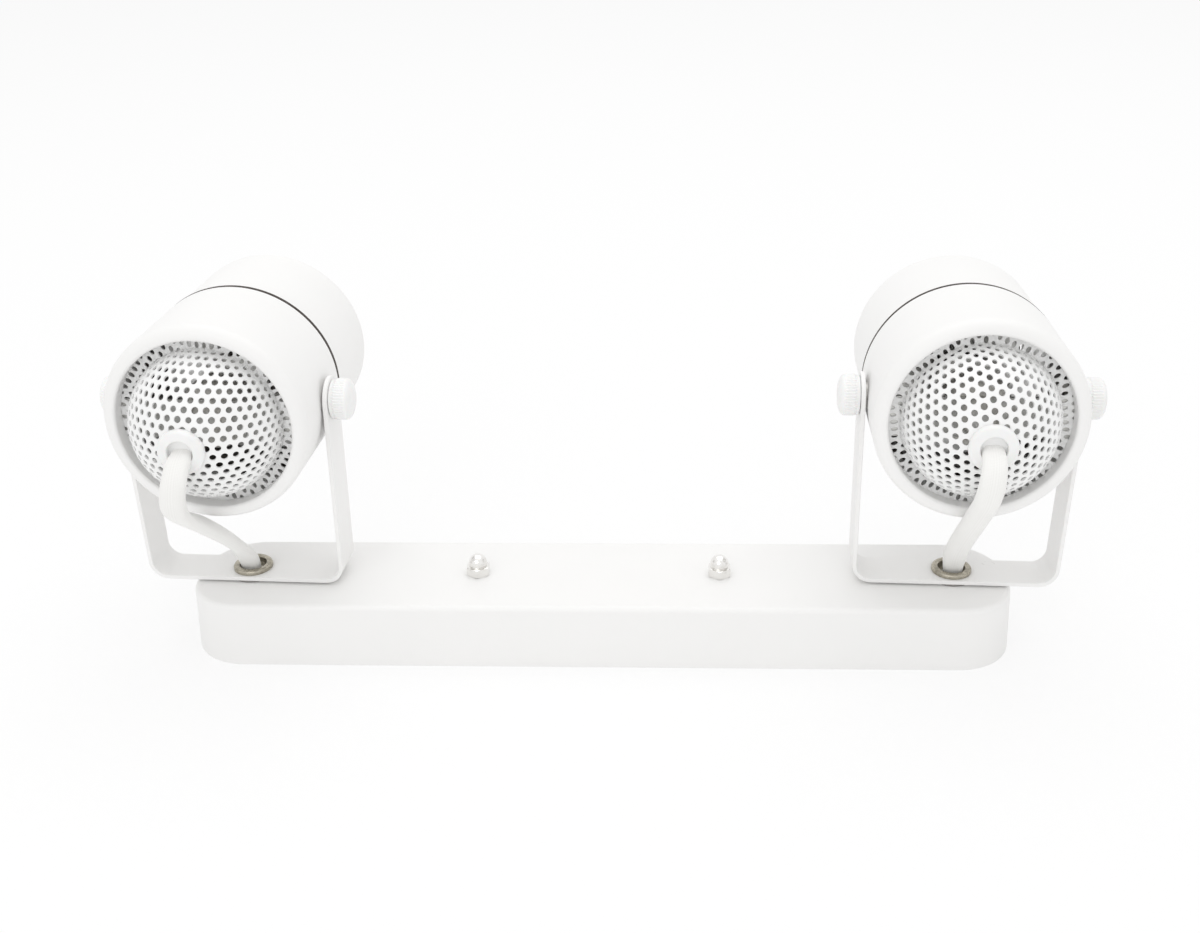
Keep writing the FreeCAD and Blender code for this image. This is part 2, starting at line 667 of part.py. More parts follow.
def vent_axes():
    """Centre and direction of each vent in the dome and its brim.

    The dome is drawn from a sheet punched in a triangular lattice, which stretches a little more
    towards the rim: a vent at a radius on the sheet goes to the latitude that this stretch gives.
    """
    radius, pitch, stretch = number("dome_radius"), number("vent_pitch"), number("vent_stretch")
    clear = number("vent_diameter / 2 + dome_wall")
    nearest = (number(COLLAR_NECK) + clear) / radius
    furthest = math.pi / 2 - clear / radius
    reach = math.ceil(radius * furthest / pitch) + 3
    axes = []
    for i in range(-reach, reach + 1):
        for j in range(-reach, reach + 1):
            x = pitch * (i + j / 2) + number("vent_shift")
            y = pitch * j * math.sqrt(3) / 2
            flat = math.hypot(x, y) / radius
            polar = flat
            for _ in range(STRETCH_STEPS):
                polar = flat / (1 - stretch * min(polar, math.pi / 2) ** 2)
            if nearest < polar < furthest:
                out = Vector(x, y, 0).normalize() * math.sin(polar) + Vector(0, 0, math.cos(polar))
                axes.append((out * radius, out))
    brim = (radius + number(LIP)) / 2
    count = round(2 * math.pi * brim / pitch)
    for k in range(count):
        turn = 2 * math.pi * k / count
        axes.append((Vector(brim * math.cos(turn), brim * math.sin(turn), 0), Vector(0, 0, 1)))
    return axes


def make_dome_blank():
    """The perforated hat, drawn once on z = 0 with its crown up, and used in both heads."""
    outer, wall = number("dome_radius"), number("dome_wall")
    inner, brim = outer - wall, number("dome_brim / 2")
    mouth = number(COLLAR_NECK) + number("thread_gap")

    def on_sphere(radius, latitude):
        return Vector(radius * math.cos(latitude), 0, radius * math.sin(latitude))

    def arc(radius, first, last):
        return Part.Arc(on_sphere(radius, first), on_sphere(radius, (first + last) / 2),
                        on_sphere(radius, last)).toShape()

    outer_top, inner_top = math.acos(mouth / outer), math.acos(mouth / inner)
    foot = -math.asin(wall / inner)
    corners = [on_sphere(outer, outer_top), on_sphere(inner, inner_top), on_sphere(inner, foot),
               Vector(brim, 0, -wall), Vector(brim, 0, 0), on_sphere(outer, 0)]
    lines = [Part.LineSegment(corners[i], corners[i + 1]).toShape() for i in (0, 2, 3, 4)]
    outline = Part.Wire([arc(outer, 0, outer_top), lines[0], arc(inner, inner_top, foot), *lines[1:]])
    hat = doc.addObject("Part::Feature", "dome_hat")
    hat.Shape = Part.Face(outline).revolve(Vector(0, 0, 0), Vector(0, 0, 1), 360)
    vents = doc.addObject("Part::Feature", "dome_vents")
    radius, reach = number("vent_diameter / 2"), 3 * wall
    vents.Shape = Part.makeCompound([
        Part.makeCylinder(radius, 2 * reach, centre - out * reach, out)
        for centre, out in vent_axes()
    ])
    dome = doc.addObject("Part::Cut", "dome_blank")
    dome.Base, dome.Tool = hat, vents
    doc.recompute()
    return dome


def make_dome(side, at_head, blank):
    """The dome sits in the head with its brim on the rim's lip and its crown to the rear."""
    dome = doc.addObject("Part::Compound", f"Dome_{side}")
    dome.Links = [blank]
    turned = frame(yaw=f"vent_turn_{side}")
    sub_part(dome, f"dome_{side}", f"{at_head} * {frame(0, LIP_END, 0, 0, 90)} * {turned}")


def make_collar(side, at_head):
    """The bushing on the dome's crown: a flange outside, a neck and a flange inside."""
    body = new_body(f"cord_collar_{side}", at_head)
    edge = "(collar_diameter / 2)"
    # the flange rests on the sphere at its own edge
    seat = f"({LIP_END} - sqrt(dome_radius * dome_radius - {edge} * {edge}) - collar_groove)"
    inside = "(collar_inner_flange / 2)"
    hollow = "(dome_radius - dome_wall)"
    grip = f"({LIP_END} - sqrt({hollow} * {hollow} - {inside} * {inside}) + collar_grip)"
    revolve(body, [
        ("collar_bore / 2", f"{DOME_APEX} - collar_rise"), (edge, f"{DOME_APEX} - collar_rise"),
        (edge, seat), (COLLAR_NECK, f"{DOME_APEX} - collar_groove"),
        (COLLAR_NECK, grip), (inside, grip), (inside, f"{grip} + collar_rise"),
        ("collar_bore / 2", f"{grip} + collar_rise"),
    ], f"collar_profile_{side}")
    fillet(body, round_edges(body, edge, "y", f"{DOME_APEX} - collar_rise")
           + round_edges(body, "collar_bore / 2", "y", f"{DOME_APEX} - collar_rise"),
           "collar_round")


def make_lampholder(side, at_head):
    """The bracket strip behind the dome's brim, and the ceramic lampholder on it."""
    bracket = new_body(f"holder_bracket_{side}", at_head)
    reach = "(dome_brim / 2 - bracket_inset)"
    strip = new_sketch(bracket, "XY", f"bracket_strip_{side}")
    draw_polygon(strip, rectangle(f"-{reach}", BRIM_FRONT, reach, BRACKET_FRONT))
    pad(bracket, strip, "bracket_width", midplane=True)
    opening = new_sketch(bracket, "XZ", f"bracket_hole_{side}")
    draw_circle(opening, 0, 0, "bracket_hole")
    pocket(bracket, opening, "2 * barrel_rear", midplane=True)

    holder = new_body(f"lampholder_{side}", at_head)
    revolve(holder, [(0, BRACKET_FRONT), ("holder_diameter / 2", BRACKET_FRONT),
                     ("holder_diameter / 2", HOLDER_FRONT), (0, HOLDER_FRONT)],
            f"holder_profile_{side}")
    fillet(holder, round_edges(holder, "holder_diameter / 2", "y", BRACKET_FRONT), "holder_edge")
    sockets = new_sketch(holder, "XZ", f"holder_sockets_{side}", f"-{HOLDER_FRONT}")
    for pin in (-1, 1):
        draw_circle(sockets, f"{pin} * pin_spacing / 2", 0, "socket_diameter")
    pocket(holder, sockets, "2 * socket_depth", midplane=True)


def make_inserts(side, at_head):
    """Two threaded inserts riveted through the barrel's wall, whose ends carry the arms."""
    inside = f"sqrt({BARREL_INSIDE} * {BARREL_INSIDE} - insert_flange * insert_flange / 4)"
    bore = "(screw_diameter / 2 + running_gap)"
    solids = []
    for end in (-1, 1):
        body = doc.addObject("PartDesign::Body", f"Body_insert_{side}")
        outline = [
            (bore, f"({inside} - insert_flange_thickness)"),
            ("insert_flange / 2", f"({inside} - insert_flange_thickness)"),
            ("insert_flange / 2", inside), ("insert_diameter / 2", inside),
            ("insert_diameter / 2", f"({ARM_INSIDE} - arm_gap)"), (bore, f"({ARM_INSIDE} - arm_gap)"),
        ]
        profile = [(f"{end} * {x}", r) for r, x in outline]
        revolve(body, profile, f"insert_profile_{side}", "XY", "H_Axis")
        solids.append(body)
    pair = doc.addObject("Part::Compound", f"Inserts_{side}")
    pair.Links = solids
    sub_part(pair, f"pivot_inserts_{side}", at_head)


def make_thumb_screw(side, place, sign, at_head):
    """A ribbed plastic knob and the steel screw moulded into it, on one end of the tilt axis."""
    face = f"({ARM_OUTSIDE} + knob_gap)"
    tip = f"({BARREL_INSIDE} - screw_reach)"
    crown = f"({face} + knob_length)"
    knob = new_body(f"knob_{side}_{place}", at_head)
    bore = "(screw_diameter / 2)"
    inside = f"({crown} - knob_floor)"
    outline = [(face, bore), (face, "knob_diameter / 2 - rib_depth"),
               (f"({face} + knob_collar)", "knob_diameter / 2 - rib_depth"),
               (f"({face} + knob_collar)", "knob_diameter / 2"), (crown, "knob_diameter / 2"),
               (crown, 0), (inside, 0), (inside, bore)]
    profile = [(f"{sign} * {x}", r) for x, r in outline]
    turned = revolve(knob, profile, f"knob_profile_{side}_{place}", "XY", "H_Axis")
    fillet(knob, round_edges(knob, "knob_diameter / 2", "x", f"{sign} * {crown}"), "knob_crown")
    groove = new_sketch(knob, "YZ", f"knob_groove_{side}_{place}", f"{sign} * ({face} + knob_collar)")
    draw_circle(groove, 0, "knob_diameter / 2 + rib_depth / 2", "rib_groove")
    cut = pocket(knob, groove, "knob_length - knob_collar", reverse=sign > 0)
    polar_pattern(knob, cut, turned.Profile[0], "H_Axis", "knob_ribs")

    screw = new_body(f"thumb_screw_{side}_{place}", at_head)
    shank = new_sketch(screw, "YZ", f"thumb_screw_circle_{side}_{place}", f"{sign} * {tip}")
    draw_circle(shank, 0, 0, "screw_diameter")
    feature = pad(screw, shank, f"{inside} - {tip}")
    feature.Reversed = sign < 0
    doc.recompute()


def make_sleeve(side, at_head):
    """The joint ring in the barrel's mouth, and the front sleeve that slides on its neck."""
    ring = new_body(f"joint_ring_{side}", at_head)
    rear = "(barrel_front - ring_depth)"
    inside = f"({NECK} - ring_wall)"
    outside = f"({BARREL_INSIDE} - thread_gap)"
    front = "(barrel_front + neck_reach)"
    turned = revolve(ring, [(inside, rear), (outside, rear), (outside, "barrel_front"),
                            (NECK, "barrel_front"), (NECK, front), (inside, front)],
                     f"ring_profile_{side}")
    nub = new_sketch(ring, "XY", f"ring_nub_{side}", f"{NECK} - ring_wall / 2")
    draw_circle(nub, 0, "barrel_front + seam_gap / 2", "nub_diameter")
    stud = pad(ring, nub, "ring_wall / 2 + nub_height")
    polar_pattern(ring, stud, turned.Profile[0], "V_Axis", "nub_count")

    sleeve = new_body(f"front_sleeve_{side}", at_head)
    start = "(barrel_front + seam_gap)"
    outer = "(sleeve_diameter / 2)"
    wall = "(sleeve_diameter / 2 - sleeve_wall)"
    revolve(sleeve, [(wall, start), (outer, start), (outer, "sleeve_front"),
                     ("sleeve_lip / 2", "sleeve_front"),
                     ("sleeve_lip / 2", "sleeve_front - sleeve_wall"),
                     (wall, "sleeve_front - sleeve_wall")],
            f"sleeve_profile_{side}")
    fillet(sleeve, round_edges(sleeve, outer, "y", "sleeve_front"), "sleeve_edge")


def make_lamp(side, at_head):
    """A reflector lamp with a front lens and two footed pins that lock in the lampholder."""
    lamp = new_body(f"lamp_{side}", at_head)
    foot = f"({HOLDER_FRONT} + thread_gap)"
    face = f"({foot} + lamp_length)"
    revolve(lamp, [
        (0, foot), ("lamp_neck / 2", foot), ("lamp_neck / 2", f"{foot} + lamp_shoulder"),
        ("lamp_diameter / 2 - lamp_rim_step", f"{face} - lamp_rim"),
        ("lamp_diameter / 2", f"{face} - lamp_rim"),
        ("lamp_diameter / 2", face), ("lens_diameter / 2 + thread_gap", face),
        ("lens_diameter / 2 + thread_gap", f"{face} - lens_thickness"), (0, f"{face} - lens_thickness"),
    ], f"lamp_profile_{side}")
    fillet(lamp, round_edges(lamp, "lamp_diameter / 2", "y", face), "lamp_edge")

    lens = new_body(f"lamp_lens_{side}", at_head)
    revolve(lens, [(0, f"{face} - lens_thickness"), ("lens_diameter / 2", f"{face} - lens_thickness"),
                   ("lens_diameter / 2", face), (0, face)], f"lens_profile_{side}")

    pins = []
    for place in (-1, 1):
        pin = doc.addObject("PartDesign::Body", f"Body_lamp_pin_{side}")
        revolve(pin, [(0, foot), ("pin_diameter / 2", foot),
                      ("pin_diameter / 2", f"{foot} - pin_length + pin_foot_height"),
                      ("pin_foot / 2", f"{foot} - pin_length + pin_foot_height"),
                      ("pin_foot / 2", f"{foot} - pin_length"), (0, f"{foot} - pin_length")],
                f"pin_profile_{side}")
        pin.setExpression("Placement", frame(f"{place} * pin_spacing / 2"))
        pins.append(pin)
    pair = doc.addObject("Part::Compound", f"Pins_{side}")
    pair.Links = pins
    sub_part(pair, f"lamp_pins_{side}", at_head)


# ---------------------------------------------------------------- sleeved leads
def tube_along(points, diameter, name):
    """A round tube on straight runs joined by tangent arcs, each as large as its runs allow."""
    points = [Vector(*p) for p in points]
    edges, here = [], points[0]
    radii = []
    for before, corner, after in zip(points, points[1:], points[2:]):
        back, ahead = (before - corner), (after - corner)
        run = ARC_SHARE * min(back.Length, ahead.Length)
        back.normalize()
        ahead.normalize()
        turn = math.pi - back.getAngle(ahead)
        radius = run / math.tan(turn / 2)
        radii.append(radius)
        start, end = corner + back * run, corner + ahead * run
        inward = (back + ahead).normalize()
        middle = corner + inward * (radius / math.cos(turn / 2) - radius)
        edges.append(Part.LineSegment(here, start).toShape())
        edges.append(Part.Arc(start, middle, end).toShape())
        here = end
    edges.append(Part.LineSegment(here, points[-1]).toShape())
    path = Part.Wire(edges)
    heading = points[1] - points[0]
    section = Part.Wire([Part.Circle(points[0], heading, diameter / 2).toShape()])
    tube = path.makePipeShell([section], True, True)
    expected = math.pi * diameter ** 2 / 4 * path.Length
    print(f"{name}: length {path.Length:.1f}, tightest radius {min(radii):.1f}, "
          f"volume {tube.Volume:.1f} against {expected:.1f}")
    return tube


def make_lead(side):
    lead = doc.addObject("Part::Feature", f"Lead_{side}")
    lead.Shape = tube_along(LEAD_ROUTES[side], number("lead_diameter"), f"lead_{side}")
    sub_part(lead, f"lead_{side}")


# ---------------------------------------------------------------- the whole light
make_canopy()
make_crossbar()
make_fasteners()
dome_blank = make_dome_blank()
for side, sign in SIDES.items():
    at_head = head_frame(side, sign)
    make_swivel(side, sign)
    make_yoke(side, sign)
    make_barrel(side, at_head)
    make_dome(side, at_head, dome_blank)
    make_collar(side, at_head)
    make_lampholder(side, at_head)
    make_inserts(side, at_head)
    make_sleeve(side, at_head)
    make_lamp(side, at_head)
    make_thumb_screw(side, "outer", sign, at_head)
    make_thumb_screw(side, "inner", -sign, at_head)
    make_lead(side)
doc.recompute()

for obj in doc.Objects:
    if "Invalid" in obj.State or "Error" in obj.State:
        raise RuntimeError(f"{obj.Label} did not recompute: {obj.State}")
for part in sub_parts:
    if part.Shape.isNull() or not part.Shape.isValid():
        raise RuntimeError(f"{part.Label} has no valid shape")

os.makedirs("parts", exist_ok=True)
for part in sub_parts:
    part.Shape.exportStep(f"parts/{part.Label}.step")
    print(f"{part.Label}: {len(part.Shape.Solids)} solid(s), {part.Shape.Volume:.1f} mm3")
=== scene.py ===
"""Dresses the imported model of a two-lamp pivoting spotlight wall light.

The light is a shallow enamelled canopy with two swivelling yokes. Each yoke holds a barrel with a
perforated dome at its rear, a sliding front sleeve, a lamp, two thumb screws and a sleeved lead.
Every length is in metres, in the light's own frame: X along the canopy, +Z away from the wall.
"""

from __future__ import annotations

import json
import logging
import math
from dataclasses import dataclass, field
from enum import Enum
from typing import ClassVar, Sequence, Union

import bmesh
import bpy
import numpy as np
from mathutils import Matrix

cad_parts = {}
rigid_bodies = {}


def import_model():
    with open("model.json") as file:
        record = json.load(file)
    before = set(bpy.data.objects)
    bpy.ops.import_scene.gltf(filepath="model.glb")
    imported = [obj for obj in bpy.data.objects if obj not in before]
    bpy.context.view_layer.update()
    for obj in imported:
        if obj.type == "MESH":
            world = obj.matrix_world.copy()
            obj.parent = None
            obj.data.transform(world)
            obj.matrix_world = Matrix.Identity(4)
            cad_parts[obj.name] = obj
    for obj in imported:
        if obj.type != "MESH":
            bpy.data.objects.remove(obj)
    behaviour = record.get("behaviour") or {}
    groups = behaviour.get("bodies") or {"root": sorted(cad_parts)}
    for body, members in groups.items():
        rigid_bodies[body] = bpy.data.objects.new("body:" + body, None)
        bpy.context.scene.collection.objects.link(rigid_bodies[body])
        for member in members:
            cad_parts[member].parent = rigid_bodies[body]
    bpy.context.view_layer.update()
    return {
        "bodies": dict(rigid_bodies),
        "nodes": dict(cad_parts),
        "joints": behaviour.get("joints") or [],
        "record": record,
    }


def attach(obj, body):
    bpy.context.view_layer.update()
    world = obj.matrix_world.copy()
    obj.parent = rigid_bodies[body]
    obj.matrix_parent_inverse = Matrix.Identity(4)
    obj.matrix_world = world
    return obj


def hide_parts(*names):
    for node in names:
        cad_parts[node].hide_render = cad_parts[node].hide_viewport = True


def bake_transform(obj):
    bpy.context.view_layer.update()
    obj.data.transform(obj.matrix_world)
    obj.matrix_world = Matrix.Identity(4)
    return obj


log = logging.getLogger("spotlight")

Array = np.ndarray
Colour = tuple[float, float, float]
TAU = 2 * math.pi
WHITE: Colour = (1.0, 1.0, 1.0)
FIT = 5e-5                # gap between pieces that fit into each other
CUT_EDGE = 0.0001         # radius of an edge that is left as it was cut
STAMPED_EDGE = 0.0002     # radius of an edge that a press left
BROKEN_EDGE = 0.0003      # radius of an edge that was broken with a tool
EASED_EDGE = 0.0004       # radius of an edge that was eased for the hand
THREAD_DEPTH = 0.55       # depth of a screw's thread over its pitch
RUN_OUT_DEPTH = 0.6       # the same at its very ends


class Side(Enum):
    """The two heads, named as the nodes name them."""

    LEFT = "left"
    RIGHT = "right"


# ---------------------------------------------------------------- surfaces
def unit(vectors: Array) -> Array:
    """Vectors of length one along the given ones; a vector of no length stays so.

    Args:
        vectors: Any array whose last axis holds the components.

    Returns:
        An array of the same shape.
    """
    length = np.linalg.norm(vectors, axis=-1, keepdims=True)
    return np.divide(vectors, length, out=np.zeros_like(vectors, dtype=float), where=length > 0)


def rounded(corners: Sequence[Sequence[float]], radii: Union[float, Sequence[float]],
            steps: int = 6, closed: bool = True) -> Array:
    """An outline whose corners are arcs.

    At each corner the arc starts and ends one radius times the tangent of half the turn away, and
    its points turn evenly from the first of these to the second about the arc's own centre.

    Args:
        corners: The sharp corners, in order.
        radii: One radius for all corners, or one for each; zero leaves a corner sharp.
        steps: Runs in each arc.
        closed: Whether the last corner joins the first one.

    Returns:
        The points of the outline, without repeats.
    """
    at = np.asarray(corners, float)
    radius = np.broadcast_to(np.asarray(radii, float), len(at)).copy()
    if not closed:
        radius[[0, -1]] = 0
    back, ahead = unit(np.roll(at, 1, 0) - at), unit(np.roll(at, -1, 0) - at)
    opening = np.arccos(np.clip((back * ahead).sum(1), -1, 1))
    turn = math.pi - opening
    reach = (radius * np.tan(turn / 2))[:, None]
    centre = at + unit(back + ahead) * (radius / np.sin(opening / 2))[:, None]
    first, last = at + back * reach - centre, at + ahead * reach - centre
    share = np.linspace(0, 1, steps + 1)[None, :, None]
    angle = np.maximum(turn, 1e-6)[:, None, None]
    arc = (np.sin((1 - share) * angle) * first[:, None] + np.sin(share * angle) * last[:, None])
    points = (centre[:, None] + arc / np.sin(angle)).reshape(-1, 2)
    apart = np.linalg.norm(np.diff(points, axis=0, prepend=points[-1:]), axis=1) > 1e-8
    if not closed:
        apart[0] = True
    return points[apart]


def lengths_along(line: Array) -> Array:
    """The length along a line of points up to each of them."""
    return np.concatenate([[0], np.cumsum(np.linalg.norm(np.diff(line, axis=0), axis=1))])


def full_turn(steps: int) -> Array:
    """Equal steps of angle round a full turn, as one row."""
    return np.linspace(0, TAU, steps, endpoint=False)[None, :]


def quads(rows: int, columns: int, close_rows: bool = False, close_columns: bool = False) -> Array:
    """Corner numbers of the quads of a grid whose points are numbered row by row.

    Args:
        rows: Rows of points.
        columns: Columns of points.
        close_rows: Whether the last row joins the first one.
        close_columns: Whether the last column joins the first one.

    Returns:
        An array of four corner numbers for each quad.
    """
    row = np.arange(rows if close_rows else rows - 1)[:, None]
    column = np.arange(columns if close_columns else columns - 1)[None, :]
    below, right = (row + 1) % rows, (column + 1) % columns
    corners = (row * columns + column, row * columns + right,
               below * columns + right, below * columns + column)
    return np.stack(np.broadcast_arrays(*corners), axis=-1).reshape(-1, 4)


@dataclass(frozen=True)
class Place:
    """Where a sub-assembly stands: an origin, and axes across, along the beam and up."""

    origin: Array = field(default_factory=lambda: np.zeros(3))
    axes: Array = field(default_factory=lambda: np.eye(3))

    def lay(self, points: Array) -> Array:
        """The places in the light's frame of points given in this one."""
        return self.origin + points @ self.axes


class Axis(Enum):
    """The axis that a turned shape goes round: how (radius, along, angle) becomes x, y, z."""

    X = "x"
    Y = "y"
    Z = "z"

    def turn(self, radius: Array, along: Array, angle: Array) -> Array:
        """Points at those radii, heights and angles about this axis.

        Args:
            radius: Distance from the axis.
            along: Place along the axis.
            angle: Turn about the axis.

        Returns:
            Points whose last axis holds x, y and z.
        """
        radius, along, angle = np.broadcast_arrays(radius, along, angle)
        one, two = radius * np.cos(angle), radius * np.sin(angle)
        order = {Axis.X: (along, one, two), Axis.Y: (two, along, one), Axis.Z: (one, two, along)}
        return np.stack(order[self], axis=-1)


@dataclass
class Skin:
    """A mesh in the making: points, quads, and the place of each corner on its pattern."""

    points: Array
    faces: Array
    pattern: Array | None = None

    @classmethod
    def grid(cls, points: Array, close_rows: bool = False, close_columns: bool = False,
             spacing: tuple[float, float] | None = None) -> Skin:
        """A skin over a grid of points.

        Args:
            points: Rows of columns of x, y and z.
            close_rows: Whether the last row joins the first one.
            close_columns: Whether the last column joins the first one.
            spacing: The pattern's length from column to column and from row to row, if it has one.

        Returns:
            The skin, with a pattern of even spacing where one is asked for.
        """
        rows, columns = points.shape[:2]
        faces = quads(rows, columns, close_rows, close_columns)
        pattern = None
        if spacing:
            row, column = np.divmod(faces, columns)
            row = np.where((row == 0) & (row.max(1, keepdims=True) == rows - 1) & close_rows, rows, row)
            edge = (column == 0) & (column.max(1, keepdims=True) == columns - 1) & close_columns
            column = np.where(edge, columns, column)
            pattern = np.stack([column * spacing[0], row * spacing[1]], axis=-1).reshape(-1, 2)
        return cls(points.reshape(-1, 3), faces, pattern)

    @classmethod
    def turned(cls, profile: Array, axis: Axis, steps: int = 96, closed: bool = True) -> Skin:
        """A profile of (radius, along) carried round an axis in equal steps of angle."""
        points = axis.turn(profile[:, :1], profile[:, 1:], full_turn(steps))
        lengths = np.linalg.norm(np.diff(profile, axis=0), axis=1)
        spacing = (TAU * profile[:, 0].max() / steps, lengths.mean())
        return cls.grid(points, closed, True, spacing)

    @classmethod
    def lathed(cls, corners: Sequence[tuple[float, float, float]], axis: Axis, arc: int, steps: int,
               closed: bool = True) -> Skin:
        """A profile of rounded corners carried round an axis.

        Args:
            corners: Each corner's distance from the axis, its place along it, and its radius.
            axis: The axis.
            arc: Runs in each corner's arc.
            steps: Steps of angle.
            closed: Whether the last corner joins the first one.

        Returns:
            The skin.
        """
        radius, along, edge = zip(*corners)
        return cls.turned(rounded(list(zip(radius, along)), edge, arc, closed), axis, steps, closed)

    @classmethod
    def joined(cls, skins: Sequence[Skin]) -> Skin:
        """Several skins as one, each with its own points."""
        starts = np.cumsum([0] + [len(s.points) for s in skins[:-1]])
        patterns = [s.pattern for s in skins]
        pattern = None if any(p is None for p in patterns) else np.concatenate(patterns)
        return cls(np.concatenate([s.points for s in skins]),
                   np.concatenate([s.faces + start for s, start in zip(skins, starts)]), pattern)

    def moved(self, place: Place) -> Skin:
        """The same skin laid in a place."""
        return Skin(place.lay(self.points), self.faces, self.pattern)

    def shifted(self, x: float = 0, y: float = 0, z: float = 0) -> Skin:
        """The same skin shifted along its own axes."""
        return Skin(self.points + np.array([x, y, z]), self.faces, self.pattern)


@dataclass
class Piece:
    """One visible piece: its skin, finish and body, and the nodes that it stands for."""

    name: str
    skin: Skin
    finish: Finish
    body: str
    stands_for: Sequence[str] = ()
    sharp: float = 32.0
    thickness: float = 0.0
    bevel: float = 0.0
    weld: float = 2e-6
    weighted: bool = True
    bevel_above: ClassVar[float] = 40.0       # edges that turn more than this many degrees are rounded

    def make(self) -> bpy.types.Object:
        """Builds the mesh, welds its doubles, turns it outwards, and hands it to its body.

        Returns:
            The new object, which rides on its body and replaces its nodes.
        """
        obj = self.mesh_object()
        if self.thickness:
            wall = obj.modifiers.new("wall", "SOLIDIFY")
            wall.thickness, wall.offset, wall.use_even_offset = self.thickness, 0.0, True
        if self.bevel:
            edge = obj.modifiers.new("rounded_edges", "BEVEL")
            edge.width, edge.segments, edge.limit_method = self.bevel, 2, "ANGLE"
            edge.angle_limit = math.radians(self.bevel_above)
            edge.harden_normals = True
        elif self.weighted:
            normals = obj.modifiers.new("flat_normals", "WEIGHTED_NORMAL")
            normals.keep_sharp, normals.weight = True, 50
        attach(obj, self.body)
        self.finish_off(obj)
        return obj

    def finish_off(self, obj: bpy.types.Object) -> None:
        """Hides the replaced nodes, and reports the piece."""
        if self.stands_for:
            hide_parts(*self.stands_for)
        log.info("%-26s %6d faces on %s", self.name, len(obj.data.polygons), self.body)

    def mesh_object(self) -> bpy.types.Object:
        """The welded mesh as an object at the origin, with its finish."""
        mesh = bpy.data.meshes.new(self.name)
        mesh.from_pydata(self.skin.points.tolist(), [], self.skin.faces.tolist())
        if self.skin.pattern is not None:
            layer = mesh.uv_layers.new(name="pattern")
            layer.data.foreach_set("uv", self.skin.pattern.astype(np.float32).ravel())
        work = bmesh.new()
        work.from_mesh(mesh)
        bmesh.ops.remove_doubles(work, verts=work.verts, dist=self.weld)
        bmesh.ops.dissolve_degenerate(work, edges=work.edges, dist=self.weld)
        if work.calc_volume(signed=True) < 0:
            bmesh.ops.reverse_faces(work, faces=work.faces)
        work.to_mesh(mesh)
        work.free()
        mesh.shade_smooth()
        mesh.set_sharp_from_angle(angle=math.radians(self.sharp))
        mesh.materials.append(self.finish.material())
        obj = bpy.data.objects.new(self.name, mesh)
        bpy.context.scene.collection.objects.link(obj)
        return obj


# ---------------------------------------------------------------- shader arithmetic
Value = Union[float, int, tuple, "Reading"]


class Reading:
    """The output socket of a shader node, as a value in Python expressions."""

    def __init__(self, bench: Bench, socket: bpy.types.NodeSocket) -> None:
        """Holds a socket of the tree that the bench builds."""
        self.bench = bench
        self.socket = socket

    def _maths(self, operation: str, *terms: Value) -> Reading:
        """A Math node on the given terms."""
        return self.bench.node("ShaderNodeMath", {"operation": operation}, dict(enumerate(terms)))

    def __add__(self, other: Value) -> Reading:
        """This plus the other."""
        return self._maths("ADD", self, other)

    __radd__ = __add__

    def __sub__(self, other: Value) -> Reading:
        """This less the other."""
        return self._maths("SUBTRACT", self, other)

    def __rsub__(self, other: Value) -> Reading:
        """The other less this."""
        return self._maths("SUBTRACT", other, self)

    def __mul__(self, other: Value) -> Reading:
        """This times the other."""
        return self._maths("MULTIPLY", self, other)

    __rmul__ = __mul__

    def __truediv__(self, other: Value) -> Reading:
        """This over the other."""
        return self._maths("DIVIDE", self, other)

    def sine(self) -> Reading:
        """The sine of this."""
        return self._maths("SINE", self)

    def larger(self, other: Value) -> Reading:
        """The larger of this and the other."""
        return self._maths("MAXIMUM", self, other)

    def between(self, low: float, high: float) -> Reading:
        """Zero below low, one above high, and smooth from one to the other."""
        settings = {"interpolation_type": "SMOOTHSTEP"}
        inputs = {"Value": self, "From Min": low, "From Max": high, "To Min": 0.0, "To Max": 1.0}
        return self.bench.node("ShaderNodeMapRange", settings, inputs)


